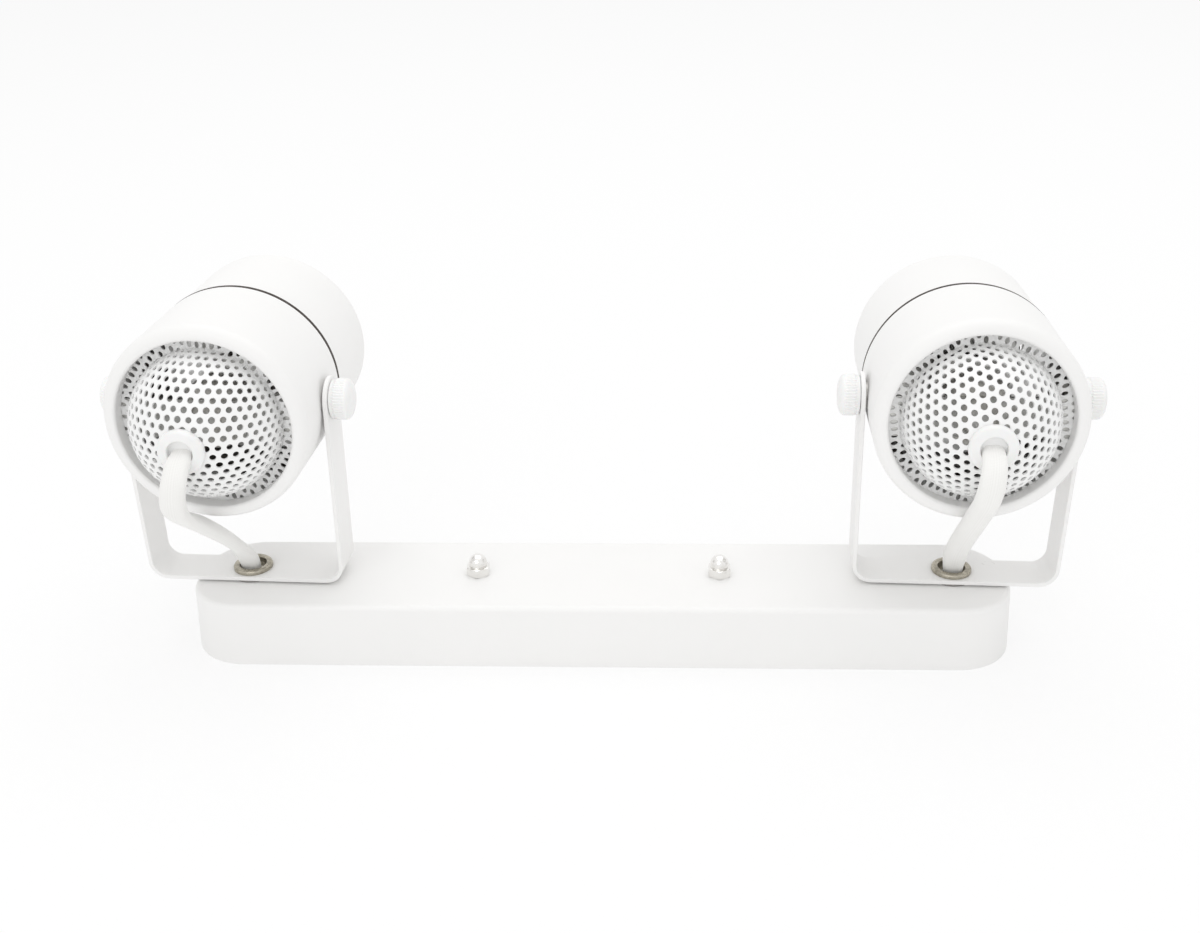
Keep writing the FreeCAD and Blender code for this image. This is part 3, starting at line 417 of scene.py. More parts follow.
class Bench:
    """Builds the node tree of a material or a world."""

    def __init__(self, owner: Union[bpy.types.Material, bpy.types.World],
                 output: str = "ShaderNodeOutputMaterial") -> None:
        """Empties the owner's tree and gives it an output node of that type."""
        owner.use_nodes = True
        self.tree = owner.node_tree
        self.tree.nodes.clear()
        self.output = self.tree.nodes.new(output)

    def node(self, kind: str, settings: dict | None = None, inputs: dict | None = None,
             output: Union[str, int] = 0) -> Reading:
        """Adds a node.

        Args:
            kind: The node's type.
            settings: Its own properties, and a ramp's stops, which are set first.
            inputs: Values or links for its sockets, by name or number.
            output: The socket to read, by name or number.

        Returns:
            A reading of that output.
        """
        made = self.tree.nodes.new(kind)
        for name, value in (settings or {}).items():
            if name == "stops":
                self._set_stops(made.color_ramp, value)
            else:
                setattr(made, name, value)
        for name, value in (inputs or {}).items():
            self.feed(made.inputs[name], value)
        return Reading(self, made.outputs[output])

    @staticmethod
    def _set_stops(ramp: bpy.types.ColorRamp, stops: Sequence[tuple[float, Colour]]) -> None:
        """Gives a ramp its stops, each a place and a colour."""
        while len(ramp.elements) < len(stops):
            ramp.elements.new(1.0)
        for element, (place, colour) in zip(ramp.elements, stops):
            element.position, element.color = place, (*colour, 1.0)

    def feed(self, socket: bpy.types.NodeSocket, value: Value) -> None:
        """Links a reading to a socket, or sets the socket's own value."""
        if isinstance(value, Reading):
            self.tree.links.new(value.socket, socket)
        elif socket.type == "RGBA" and len(value) == 3:
            socket.default_value = (*value, 1.0)
        else:
            socket.default_value = value

    def place(self, scale: Sequence[float] = (1, 1, 1), pattern: bool = False) -> Reading:
        """Object coordinates, or the piece's own pattern, stretched by scale."""
        if pattern:
            source = self.node("ShaderNodeUVMap", {"uv_map": "pattern"}, output="UV")
        else:
            source = self.node("ShaderNodeTexCoord", output="Object")
        return self.node("ShaderNodeMapping", None, {"Vector": source, "Scale": tuple(scale)})

    def parts(self, vector: Reading) -> tuple[Reading, Reading, Reading]:
        """The three components of a vector."""
        split = self.node("ShaderNodeSeparateXYZ", None, {"Vector": vector})
        x, y, z = (Reading(self, socket) for socket in split.socket.node.outputs)
        return x, y, z

    def noise(self, vector: Reading, size: float, detail: float = 2.0, rough: float = 0.5) -> Reading:
        """Smooth noise whose blots are about that size, from 0 to 1."""
        inputs = {"Vector": vector, "Scale": 1 / size, "Detail": detail, "Roughness": rough}
        return self.node("ShaderNodeTexNoise", None, inputs, "Fac")

    def mixed(self, share: Value, first: Value, second: Value) -> Reading:
        """The first colour where the share is 0 and the second where it is 1."""
        settings = {"data_type": "RGBA"}
        return self.node("ShaderNodeMix", settings, {0: share, 6: first, 7: second}, 2)

    def bump(self, height: Reading, depth: float, strength: float = 1.0) -> Reading:
        """A normal from a height of 0 to 1 that stands for that depth in metres."""
        return self.node("ShaderNodeBump", None,
                         {"Height": height, "Distance": depth, "Strength": strength}, "Normal")

    def surface(self, **inputs: Value) -> Reading:
        """The principled shader, with inputs named in lower case with underscores."""
        shader = self.tree.nodes.new("ShaderNodeBsdfPrincipled")
        for name, value in inputs.items():
            label = {"ior": "IOR", "specular_ior_level": "Specular IOR Level"}.get(
                name, name.replace("_", " ").title())
            self.feed(shader.inputs[label], value)
        reading = Reading(self, shader.outputs[0])
        self.finish(reading)
        return reading

    def finish(self, shader: Reading) -> None:
        """Makes a shader the material's surface."""
        self.feed(self.output.inputs["Surface"], shader)


# ---------------------------------------------------------------- finishes
@dataclass(frozen=True)
class Finish:
    """A surface finish: the record's material slot, its colour and its sheen."""

    slot: str
    colour: Colour = (0.8, 0.8, 0.8)
    roughness: float = 0.4
    _made: ClassVar[dict[Finish, bpy.types.Material]] = {}

    def material(self) -> bpy.types.Material:
        """The one material of this finish, made on first use."""
        if self not in Finish._made:
            material = bpy.data.materials.new("finish_" + self.slot)
            self.paint(Bench(material))
            Finish._made[self] = material
        return Finish._made[self]

    def paint(self, bench: Bench) -> None:
        """Builds the nodes of the finish."""
        raise NotImplementedError

    def dress(self, node: str) -> None:
        """Gives a carried-over node this finish in all of its material slots."""
        mesh = bpy.data.objects[node].data
        mesh.materials.clear()
        mesh.materials.append(self.material())
        log.info("%-26s keeps its shape, in %s", node, self.slot)


@dataclass(frozen=True)
class Enamel(Finish):
    """Sprayed and baked enamel on steel: a faint orange peel, and a colour that clouds a little."""

    peel: float = 0.0011        # size of one bump of the peel
    peel_depth: float = 8e-6
    shade: Colour = (0.80, 0.80, 0.79)
    cloud: float = 0.10
    scuff: tuple[float, float] | None = None      # middle of a faint ring-shaped scuff, in x and y
    scuff_reach: tuple[float, float] = (0.0022, 0.0014)      # the ring's half widths
    cloud_size: float = 0.035
    speck_size: float = 0.0006

    def scuffed(self, bench: Bench, place: Reading) -> Value:
        """How worn the coat is: a faint oval ring about the scuff's middle, broken up by noise."""
        if self.scuff is None:
            return 0.0
        x, y, _ = bench.parts(place)
        across, along = ((at - middle) / reach
                         for at, middle, reach in zip((x, y), self.scuff, self.scuff_reach))
        squared = across * across + along * along
        ring = squared.between(0.5, 0.95) * (1 - squared.between(0.95, 1.4))
        return ring * bench.noise(place, 0.001, 2.0).between(0.4, 0.6) * 0.35

    def paint(self, bench: Bench) -> None:
        """White coat over steel, duller where it clouds, with fine specks in the coat."""
        place = bench.place()
        clouds = bench.noise(place, self.cloud_size, 3.0)
        peel = bench.noise(place, self.peel, 2.0, 0.4)
        speck = bench.noise(place, self.speck_size, 1.0).between(0.74, 0.82)
        worn = clouds.between(0.3, 0.8) * self.cloud + speck * 0.12 + self.scuffed(bench, place)
        colour = bench.mixed(worn, self.colour, self.shade)
        bench.surface(
            base_color=colour,
            roughness=clouds * 0.10 + (self.roughness - 0.05) + speck * 0.1,
            normal=bench.bump(peel + speck * 0.3, self.peel_depth),
            specular_ior_level=0.45,
        )


@dataclass(frozen=True)
class Plated(Finish):
    """Plated or bare metal, with the fine marks that turning, drawing or handling left."""

    marks: float = 0.12          # how much the marks change the roughness
    mark_size: float = 0.0009
    mark_depth: float = 4e-6
    blot_size: float = 0.004
    tarnish: Colour = (0.35, 0.31, 0.26)
    tarnished: float = 0.25
    metal: float = 1.0

    def paint(self, bench: Bench) -> None:
        """Bright metal with darker, duller blots and hairline marks."""
        place = bench.place()
        blots = bench.noise(place, self.blot_size, 4.0, 0.6)
        lines = bench.noise(bench.place((1, 1, 12)), self.mark_size, 2.0)
        dull = blots.between(0.45, 0.72)
        bench.surface(
            base_color=bench.mixed(dull * self.tarnished, self.colour, self.tarnish),
            metallic=self.metal,
            roughness=lines * self.marks + dull * 0.15 + (self.roughness - self.marks / 2),
            normal=bench.bump(lines, self.mark_depth),
        )


@dataclass(frozen=True)
class Moulded(Finish):
    """Injection-moulded plastic: a fine satin texture and faint flow marks."""

    grain: float = 0.00035
    grain_depth: float = 6e-6
    shade: Colour = (0.78, 0.78, 0.75)
    glow: float = 0.04           # how much light the plastic lets into itself

    def paint(self, bench: Bench) -> None:
        """A satin skin over slightly translucent plastic."""
        place = bench.place()
        flow = bench.noise(place, 0.006, 3.0)
        grain = bench.noise(place, self.grain, 1.0)
        bench.surface(
            base_color=bench.mixed(flow.between(0.35, 0.75) * 0.25, self.colour, self.shade),
            roughness=flow * 0.12 + (self.roughness - 0.06),
            normal=bench.bump(grain, self.grain_depth),
            subsurface_weight=self.glow,
            subsurface_scale=0.001,
        )


@dataclass(frozen=True)
class Braided(Finish):
    """Braided fibre sleeving: two sets of flat strands that cross at an angle."""

    strand: float = 0.0009       # width of one crossing, round the sleeve
    rise: float = 0.0013         # length of one crossing, along the sleeve
    depth: float = 3e-5
    # colour in the grooves between strands: painted shade
    groove: Colour = (0.76, 0.75, 0.72)

    def paint(self, bench: Bench) -> None:
        """Strands as two waves across each other, each with its own fine fibres, and painted shade in the
        grooves between them.
        """
        around, along, _ = bench.parts(bench.place(pattern=True))
        one = (around * (TAU / self.strand) + along * (TAU / self.rise)).sine()
        two = (around * (TAU / self.strand) - along * (TAU / self.rise)).sine()
        weave = (one * two) * 0.5 + 0.5
        fibres = bench.noise(bench.place((2, 1, 1), pattern=True), 0.0006, 3.0)
        soiled = bench.noise(bench.place(), 0.012, 2.0)
        # darker where the weave is low, as painted shade in its grooves, and where soiled, as dirt
        low = (1 - weave).between(0.35, 1.0) * 0.35 + soiled.between(0.4, 0.8) * 0.12
        bench.surface(
            base_color=bench.mixed(low, self.colour, self.groove),
            roughness=weave * -0.12 + self.roughness,
            normal=bench.bump(weave + fibres * 0.35, self.depth, 0.6),
            sheen_weight=0.25,
            sheen_roughness=0.5,
        )


@dataclass(frozen=True)
class Ceramic(Finish):
    """Steatite: a matt, faintly mottled body."""

    shade: Colour = (0.52, 0.50, 0.46)

    def paint(self, bench: Bench) -> None:
        """Pressed powder with a fine grain and a few darker grains."""
        place = bench.place()
        mottle = bench.noise(place, 0.0015, 4.0, 0.6)
        grain = bench.noise(place, 0.0003, 2.0)
        bench.surface(
            base_color=bench.mixed(mottle.between(0.4, 0.75) * 0.4, self.colour, self.shade),
            roughness=mottle * 0.15 + (self.roughness - 0.07),
            normal=bench.bump(grain, 2e-5),
        )


@dataclass(frozen=True)
class Glass(Finish):
    """Clear pressed glass that lets light through to the reflector behind it."""

    def paint(self, bench: Bench) -> None:
        """Clear glass whose shadow is left out, with a faint ripple from the press."""
        ripple = bench.noise(bench.place(), 0.005, 2.0)
        glass = bench.surface(
            base_color=self.colour,
            roughness=self.roughness,
            transmission_weight=1.0,
            ior=1.47,
            normal=bench.bump(ripple, 3e-5),
        )
        clear = bench.node("ShaderNodeBsdfTransparent", None, {"Color": (0.95, 0.96, 0.96, 1.0)})
        shadow = bench.node("ShaderNodeLightPath", output="Is Shadow Ray")
        bench.finish(bench.node("ShaderNodeMixShader", None, {0: shadow, 1: glass, 2: clear}))


ENAMEL_WHITE: Colour = (0.90, 0.895, 0.885)
CANOPY = Enamel("canopy_enamel", ENAMEL_WHITE, 0.42)
YOKE = Enamel("yoke_enamel", ENAMEL_WHITE, 0.44, shade=(0.55, 0.54, 0.52), cloud=0.03,
              scuff=(0.1429, 0.0049))
HEAD = Enamel("head_enamel", ENAMEL_WHITE, 0.40)
DOME = Enamel("dome_enamel", (0.91, 0.91, 0.905), 0.34, peel=0.0008)
ZINC = Plated("zinc_steel", (0.62, 0.62, 0.60), 0.36)
STUD = Plated("stud_steel", (0.66, 0.65, 0.62), 0.30)
NUT = Plated("nut_steel", (0.60, 0.59, 0.56), 0.32)
CHROME = Plated("cap_chrome", (0.86, 0.85, 0.83), 0.12, marks=0.06, tarnished=0.12)
GROUND = Plated("ground_green", (0.03, 0.22, 0.08), 0.38, tarnish=(0.02, 0.10, 0.04), metal=0.75)
BUSH = Plated("bush_nickel", (0.44, 0.41, 0.34), 0.27, marks=0.10, tarnish=(0.16, 0.14, 0.11), tarnished=0.6)
WASHER = Plated("washer_steel", (0.30, 0.29, 0.28), 0.45)
CONNECTOR = Moulded("connector_plastic", (0.80, 0.79, 0.75), 0.45)
# Near-black, darker than bare steel: painted shade of the seam between barrel and sleeve, on the band that
# fills it.
SEAM_SHADE_RING = Plated("ring_steel", (0.045, 0.032, 0.025), 0.55, tarnish=(0.02, 0.015, 0.01), tarnished=0.6,
              metal=0.3)
NUB = Plated("ring_steel", (0.70, 0.68, 0.64), 0.35)
COLLAR = Moulded("collar_plastic", (0.90, 0.90, 0.895), 0.40)
HOLDER = Ceramic("holder_ceramic", (0.76, 0.74, 0.70), 0.60)
INSERT = Plated("insert_brass", (0.50, 0.49, 0.47), 0.36)
SLEEVING = Braided("lead_sleeving", (0.90, 0.895, 0.875), 0.72)
LAMP = Plated("lamp_housing", (0.82, 0.82, 0.80), 0.20, marks=0.05, tarnished=0.1)
CAPSULE = Moulded("lamp_housing", (0.92, 0.92, 0.90), 0.3)
LENS = Glass("lens_glass", (0.98, 0.99, 0.99), 0.02)
PIN = Plated("pin_brass", (0.72, 0.68, 0.60), 0.28)
KNOB = Moulded("knob_plastic", (0.90, 0.90, 0.895), 0.42)
SCREW = Plated("screw_steel", (0.58, 0.57, 0.55), 0.34)


# ---------------------------------------------------------------- shared shapes
def triangle(turns: Array) -> Array:
    """A triangle wave of a count of turns: 1 at each whole number and 0 halfway between."""
    return np.abs(turns % 1 * 2 - 1)


def superellipse(angle: Array, half_x: Union[float, Array], half_y: Union[float, Array],
                 power: float) -> tuple[Array, Array]:
    """A superellipse: half a width times the cosine, and half the other times the sine, to a power.

    Args:
        angle: Turn of each point.
        half_x: Half the width along x.
        half_y: Half the width along y.
        power: 1 gives an ellipse, and less gives squarer corners.

    Returns:
        The points' x and y.
    """
    cosine, sine = np.cos(angle), np.sin(angle)
    return (half_x * np.sign(cosine) * np.abs(cosine) ** power,
            half_y * np.sign(sine) * np.abs(sine) ** power)


def hexagon_reach(angle: Array, flats: float) -> Array:
    """How far a hexagon's side is from its middle in each direction.

    Half the width across flats over the cosine of the angle to the nearest flat's middle.
    """
    sixth = math.pi / 3
    return flats / 2 / np.cos((angle + sixth / 2) % sixth - sixth / 2)


def nut_levels(flats: float, height: float, levels: int = 7) -> tuple[Array, Array]:
    """Heights of a nut's rings, and the radius of the cone that turns its corners off there.

    Args:
        flats: Width across flats.
        height: Height of the nut.
        levels: Rings in each chamfer.

    Returns:
        Heights from the foot up, and the cone's radius at each.
    """
    corner = flats / math.sqrt(3)
    rise = np.linspace(0, (corner - flats / 2) / math.sqrt(3), levels)
    heights = np.concatenate([rise, height - rise[::-1]])
    return heights, flats / 2 + np.concatenate([rise, rise[::-1]]) * math.sqrt(3)


def hex_nut(flats: float, height: float, bore: float, steps: int = 72, sink: float = 0.0004) -> Skin:
    """A hexagon nut on z = 0: the smaller of hexagon and chamfer cone, with a countersunk bore.

    Args:
        flats: Width across flats.
        height: Height of the nut.
        bore: Radius of the bore.
        steps: Steps of angle.
        sink: Depth and width of the countersinks.

    Returns:
        The nut.
    """
    angle = full_turn(steps)
    heights, cone = nut_levels(flats, height)
    outside = np.minimum(hexagon_reach(angle, flats), cone[:, None])
    wall, mouth = np.full_like(angle, bore), np.full_like(angle, bore + sink)
    radius = np.concatenate([wall, mouth, outside, mouth, wall])
    along = np.concatenate([[sink, 0], heights, [height, height - sink]])[:, None]
    return Skin.grid(Axis.Z.turn(radius, along, angle), True, True)


def threaded_rod(radius: float, pitch: float, length: float, steps: int = 28, rings: int = 6) -> Skin:
    """A rod on z = 0 with one thread, whose depth follows a triangle wave of height and turn.

    Args:
        radius: Radius over the thread.
        pitch: Rise of the thread in a turn; it runs out over one pitch at each end.
        length: Length of the rod.
        steps: Steps of angle.
        rings: Rings of points in one pitch.

    Returns:
        The rod.
    """
    angle = full_turn(steps)
    along = np.linspace(0, length, int(length / pitch * rings))[:, None]
    ends = np.minimum(np.minimum(along, length - along) / pitch, 1)
    depth = np.maximum(THREAD_DEPTH * pitch * triangle(along / pitch - angle / TAU),
                       RUN_OUT_DEPTH * pitch * (1 - ends))
    wall = Axis.Z.turn(radius - depth, along, angle)
    caps = [Axis.Z.turn(np.zeros_like(angle), np.full((1, 1), z), angle) for z in (0.0, length)]
    return Skin.grid(np.concatenate([caps[0], wall, caps[1]]), False, True)


@dataclass
class SidePart:
    """A sub-assembly that both sides have: its side, and the place that its shapes are drawn in."""

    side: Side
    place: Place

    @property
    def tag(self) -> str:
        """How the names of its nodes, pieces and bodies end."""
        return self.side.value

    def body(self, name: str) -> str:
        """The body of that name that belongs to this sub-assembly."""
        return f"{name}_{self.tag}"

    def fit(self, name: str, skin: Skin, finish: Finish, body: str, node: str = "",
            **options: float) -> None:
        """Makes one piece in this sub-assembly's place.

        Args:
            name: The piece's name, without the tag.
            skin: Its shape, in this sub-assembly's frame.
            finish: Its finish.
            body: The body that it rides on.
            node: The node that it stands for, without the tag, if there is one.
            options: The piece's own settings, such as thickness.
        """
        nodes = [f"{node}_{self.tag}"] if node else []
        Piece(f"{name}_{self.tag}", skin.moved(self.place), finish, body, nodes, **options).make()


# ---------------------------------------------------------------- canopy and what it covers
@dataclass
class Canopy:
    """The drawn steel box over the junction box, open towards the wall."""

    length: float = 0.300
    depth: float = 0.051
    height: float = 0.024
    inset: float = 0.0012        # how far the sides lean in from the foot to the top
    wall: float = 0.001
    corner: float = 0.0215
    edge: float = 0.0020

    def outline(self, arc_steps: int = 16, side_steps: int = 40) -> tuple[Array, Array]:
        """The canopy's outline, as the middle of each point's corner and its outward direction.

        A point at inset d lies at middle + (corner - d) * direction, because every inset keeps
        the corners' middles.

        Args:
            arc_steps: Runs round a corner.
            side_steps: Runs along a side.

        Returns:
            The middles and the directions.
        """
        half = np.array([self.length, self.depth]) / 2 - self.corner
        signs = np.array([(1, 1), (-1, 1), (-1, -1), (1, -1)])
        quarters = np.arange(4) * math.pi / 2
        arc = quarters[:, None] + np.linspace(0, math.pi / 2, arc_steps + 1)[None, :]
        middles = np.repeat((signs * half)[:, None], arc_steps + 1, 1)
        share = np.linspace(0, 1, side_steps + 1)[1:-1, None]
        following = np.roll(signs, -1, 0)
        runs = (signs * half)[:, None] * (1 - share) + (following * half)[:, None] * share
        angles = np.concatenate([arc, np.repeat(arc[:, -1:], side_steps - 1, 1)], 1).ravel()
        points = np.concatenate([middles, runs], 1).reshape(-1, 2)
        return points, np.stack([np.cos(angles), np.sin(angles)], -1)

    def skin(self) -> Skin:
        """Carries the section of the wall round the outline and closes both faces on the middle line."""
        lean = self.inset / self.height
        top, under, foot = self.height, self.height - self.wall, self.wall
        outer = rounded([(0, 0), (self.inset, top), (self.corner, top)], self.edge, 10, closed=False)
        inner = rounded([(self.corner, under), (foot + lean * under, under), (foot, 0)],
                        self.edge - self.wall / 2, 8, closed=False)
        section = np.concatenate([inner, outer])
        middle, out = self.outline()
        flat = middle[None] + (self.corner - section[:, :1])[:, :, None] * out[None]
        height = np.broadcast_to(section[:, 1:, None], (*flat.shape[:2], 1))
        rings = np.concatenate([flat, height], -1)
        line = np.stack([middle[:, 0], 0 * middle[:, 0]], -1)[None]
        closing = [np.concatenate([line, np.full((1, len(middle), 1), z)], -1) for z in (under, top)]
        return Skin.grid(np.concatenate([closing[0], rings, closing[1]]), False, True)

    def make(self) -> None:
        """Builds the canopy."""
        Piece("canopy_cover", self.skin(), CANOPY, "root", ["canopy"]).make()


@dataclass
class Crossbar:
    """The crossbar's studs, their lock nuts, the cap nuts on the canopy and the ground screw."""

    canopy: Canopy
    thickness: float = 0.002
    stud_spacing: float = 0.0889
    stud_radius: float = 0.00205
    stud_rise: float = 0.0052    # how far the studs stand above the canopy
    pitch: float = 0.0008
    flats: float = 0.00794
    nut_height: float = 0.003
    cap_hexagon: float = 0.0034  # height of a cap nut's hexagon
    cap_radius: float = 0.0033
    cap_waist: float = 0.0003    # depth and height of the groove between hexagon and cap
    cap_dome: float = 0.96       # height of the cap's dome, as a share of its radius
    cap_height: float = 0.0079
    ground_offset: float = 0.017
    ground_head: float = 0.0035
    ground_rise: float = 0.0022
    ground_slot: float = 0.001

    def pair(self, skin: Skin) -> Skin:
        """The same skin at both studs."""
        return Skin.joined([skin.shifted(x=end * self.stud_spacing / 2) for end in (-1, 1)])

    def cap_nut(self, steps: int = 72) -> Skin:
        """A hexagon with a domed cap: the chamfered hexagon's rings run on into the cap's profile."""
        angle = full_turn(steps)
        heights, cone = nut_levels(self.flats, self.cap_hexagon)
        hexagon = np.minimum(hexagon_reach(angle, self.flats), cone[:, None])
        waist, dome = self.cap_radius - self.cap_waist, self.cap_radius * self.cap_dome
        turn = np.linspace(0, math.pi / 2, 12)
        cap = np.concatenate([
            [(waist, self.cap_hexagon), (waist, self.cap_hexagon + self.cap_waist),
             (self.cap_radius, self.cap_hexagon + 2 * self.cap_waist)],
            np.stack([self.cap_radius * np.cos(turn), self.cap_height - dome + dome * np.sin(turn)], -1),
        ])
        radius = np.concatenate([np.zeros_like(angle), hexagon, np.repeat(cap[:, :1], steps, 1)])
        along = np.concatenate([[0], heights, cap[:, 1]])[:, None]
        return Skin.grid(Axis.Z.turn(radius, along, angle), False, True)

    def ground_screw(self) -> Skin:
        """A threaded shank and a domed, slotted head; the slot lowers the head where |y| is small."""
        top = self.thickness + self.ground_rise
        profile = rounded([(0, top), (self.ground_head, top), (self.ground_head, self.thickness),
                           (self.stud_radius, self.thickness), (self.stud_radius, 0), (0, 0)],
                          [0, self.ground_rise / 2, 0, 0, 0, 0], 8, closed=False)
        ring = np.linspace(1, 0, 24)[:, None] * [self.ground_head - self.ground_rise / 2, 0] + [0, top]
        profile = np.concatenate([ring[::-1], profile[1:]])
        skin = Skin.turned(profile, Axis.Z, 160, closed=False)
        _, y, z = skin.points.T
        sunk = (np.abs(y) < self.ground_slot / 2) & (z > top - self.ground_rise / 2)
        skin.points[:, 2] = np.where(sunk, top - self.ground_slot, z)
        return skin.shifted(x=self.ground_offset)

    def make(self) -> None:
        """Builds the fasteners and dresses the bar."""
        ZINC.dress("crossbar")
        top = self.canopy.height
        rod = threaded_rod(self.stud_radius, self.pitch, top + self.stud_rise)
        Piece("threaded_studs", self.pair(rod), STUD, "root", ["studs"], weighted=False).make()
        nut = hex_nut(self.flats, self.nut_height, self.stud_radius + FIT).shifted(z=self.thickness)
        Piece("lock_nuts", self.pair(nut), NUT, "root", ["stud_nuts"]).make()
        cap = self.cap_nut().shifted(z=top)
        Piece("domed_cap_nuts", self.pair(cap), CHROME, "root", ["cap_nuts"]).make()
        Piece("slotted_ground_screw", self.ground_screw(), GROUND, "root", ["ground_screw"]).make()


# ---------------------------------------------------------------- swivel
@dataclass
class Swivel(SidePart):
    """The hollow flanged bush that a yoke turns on, with its washers, nut and connector.

    Its place is on the swivel's axis at the canopy's top.
    """

    canopy: Canopy
    washer_radius: float = 0.008
    washer_thickness: float = 0.0008
    strip: float = 0.0015        # thickness of the yoke
    flange: float = 0.00715
    flange_height: float = 0.0018
    bush_radius: float = 0.0058
    bore: float = 0.0048
    nut_flats: float = 0.017
    nut_height: float = 0.003
    tail: float = 0.0007         # how far the bush stands out of its nut
    pitch: float = 0.001
    thread_depth: float = 0.35   # as a share of the pitch
    block: tuple[float, float] = (0.016, 0.011)
    block_bottom: float = 0.003
    block_top: float = 0.016
    block_edge: float = 0.0008
    block_power: float = 0.32

    def bush(self) -> Skin:
        """A flanged tube: a rolled flange, a plain neck in the yoke and a thread below the canopy."""
        foot = self.washer_thickness + self.strip
        top = foot + self.flange_height
        thread_top = -self.canopy.wall - self.washer_thickness
        low = -(self.canopy.wall + self.washer_thickness + self.nut_height + self.tail)
        along = np.linspace(low, thread_top, 60)
        depth = self.thread_depth * self.pitch * triangle(along / self.pitch)
        thread = np.stack([self.bush_radius - depth, along], -1)
        flange = rounded([(self.bush_radius, thread_top), (self.bush_radius, foot), (self.flange, foot),
                          (self.flange, top), (self.bore, top), (self.bore, low)],
                         [0, 0, BROKEN_EDGE, 0.0009, 0.0006, 0], 6, closed=False)
        return Skin.turned(np.concatenate([thread, flange[1:]]), Axis.Z, 96)

    def washer(self, low: float) -> Skin:
        """A flat washer with its foot at that height."""
        high, bore = low + self.washer_thickness, self.bush_radius + FIT
        profile = rounded([(bore, low), (self.washer_radius, low), (self.washer_radius, high), (bore, high)],
                          STAMPED_EDGE, 3)
        return Skin.turned(profile, Axis.Z, 72)

    def connector(self) -> Skin:
        """A block whose outline is a superellipse, narrower at its top and foot."""
        half = np.array(self.block) / 2
        x, y = superellipse(full_turn(64), *half, self.block_power)
        rise = np.array([0, 0, self.block_edge])
        levels = np.concatenate([self.block_bottom + rise, self.block_top - rise[::-1]])[:, None]
        narrow = 1 - self.block_edge / half[1]
        scale = np.array([0, narrow, 1, 1, narrow, 0])[:, None]
        return Skin.grid(np.stack(np.broadcast_arrays(x * scale, y * scale, levels), -1), False, True)

    def make(self) -> None:
        """Builds one swivel."""
        under = -self.canopy.wall - self.washer_thickness
        nut = hex_nut(self.nut_flats, self.nut_height, self.bush_radius)
        for name, skin, finish, node in (
            ("hollow_bush", self.bush(), BUSH, "swivel_bush"),
            ("upper_washer", self.washer(0.0), WASHER, "yoke_washer"),
            ("lower_washer", self.washer(under), WASHER, "friction_washer"),
            ("retaining_nut", nut.shifted(z=under - self.nut_height), ZINC, "bush_nut"),
            ("terminal_block", self.connector().shifted(z=-self.canopy.height), CONNECTOR,
             "lead_connector"),
        ):
            self.fit(name, skin, finish, "root", node)


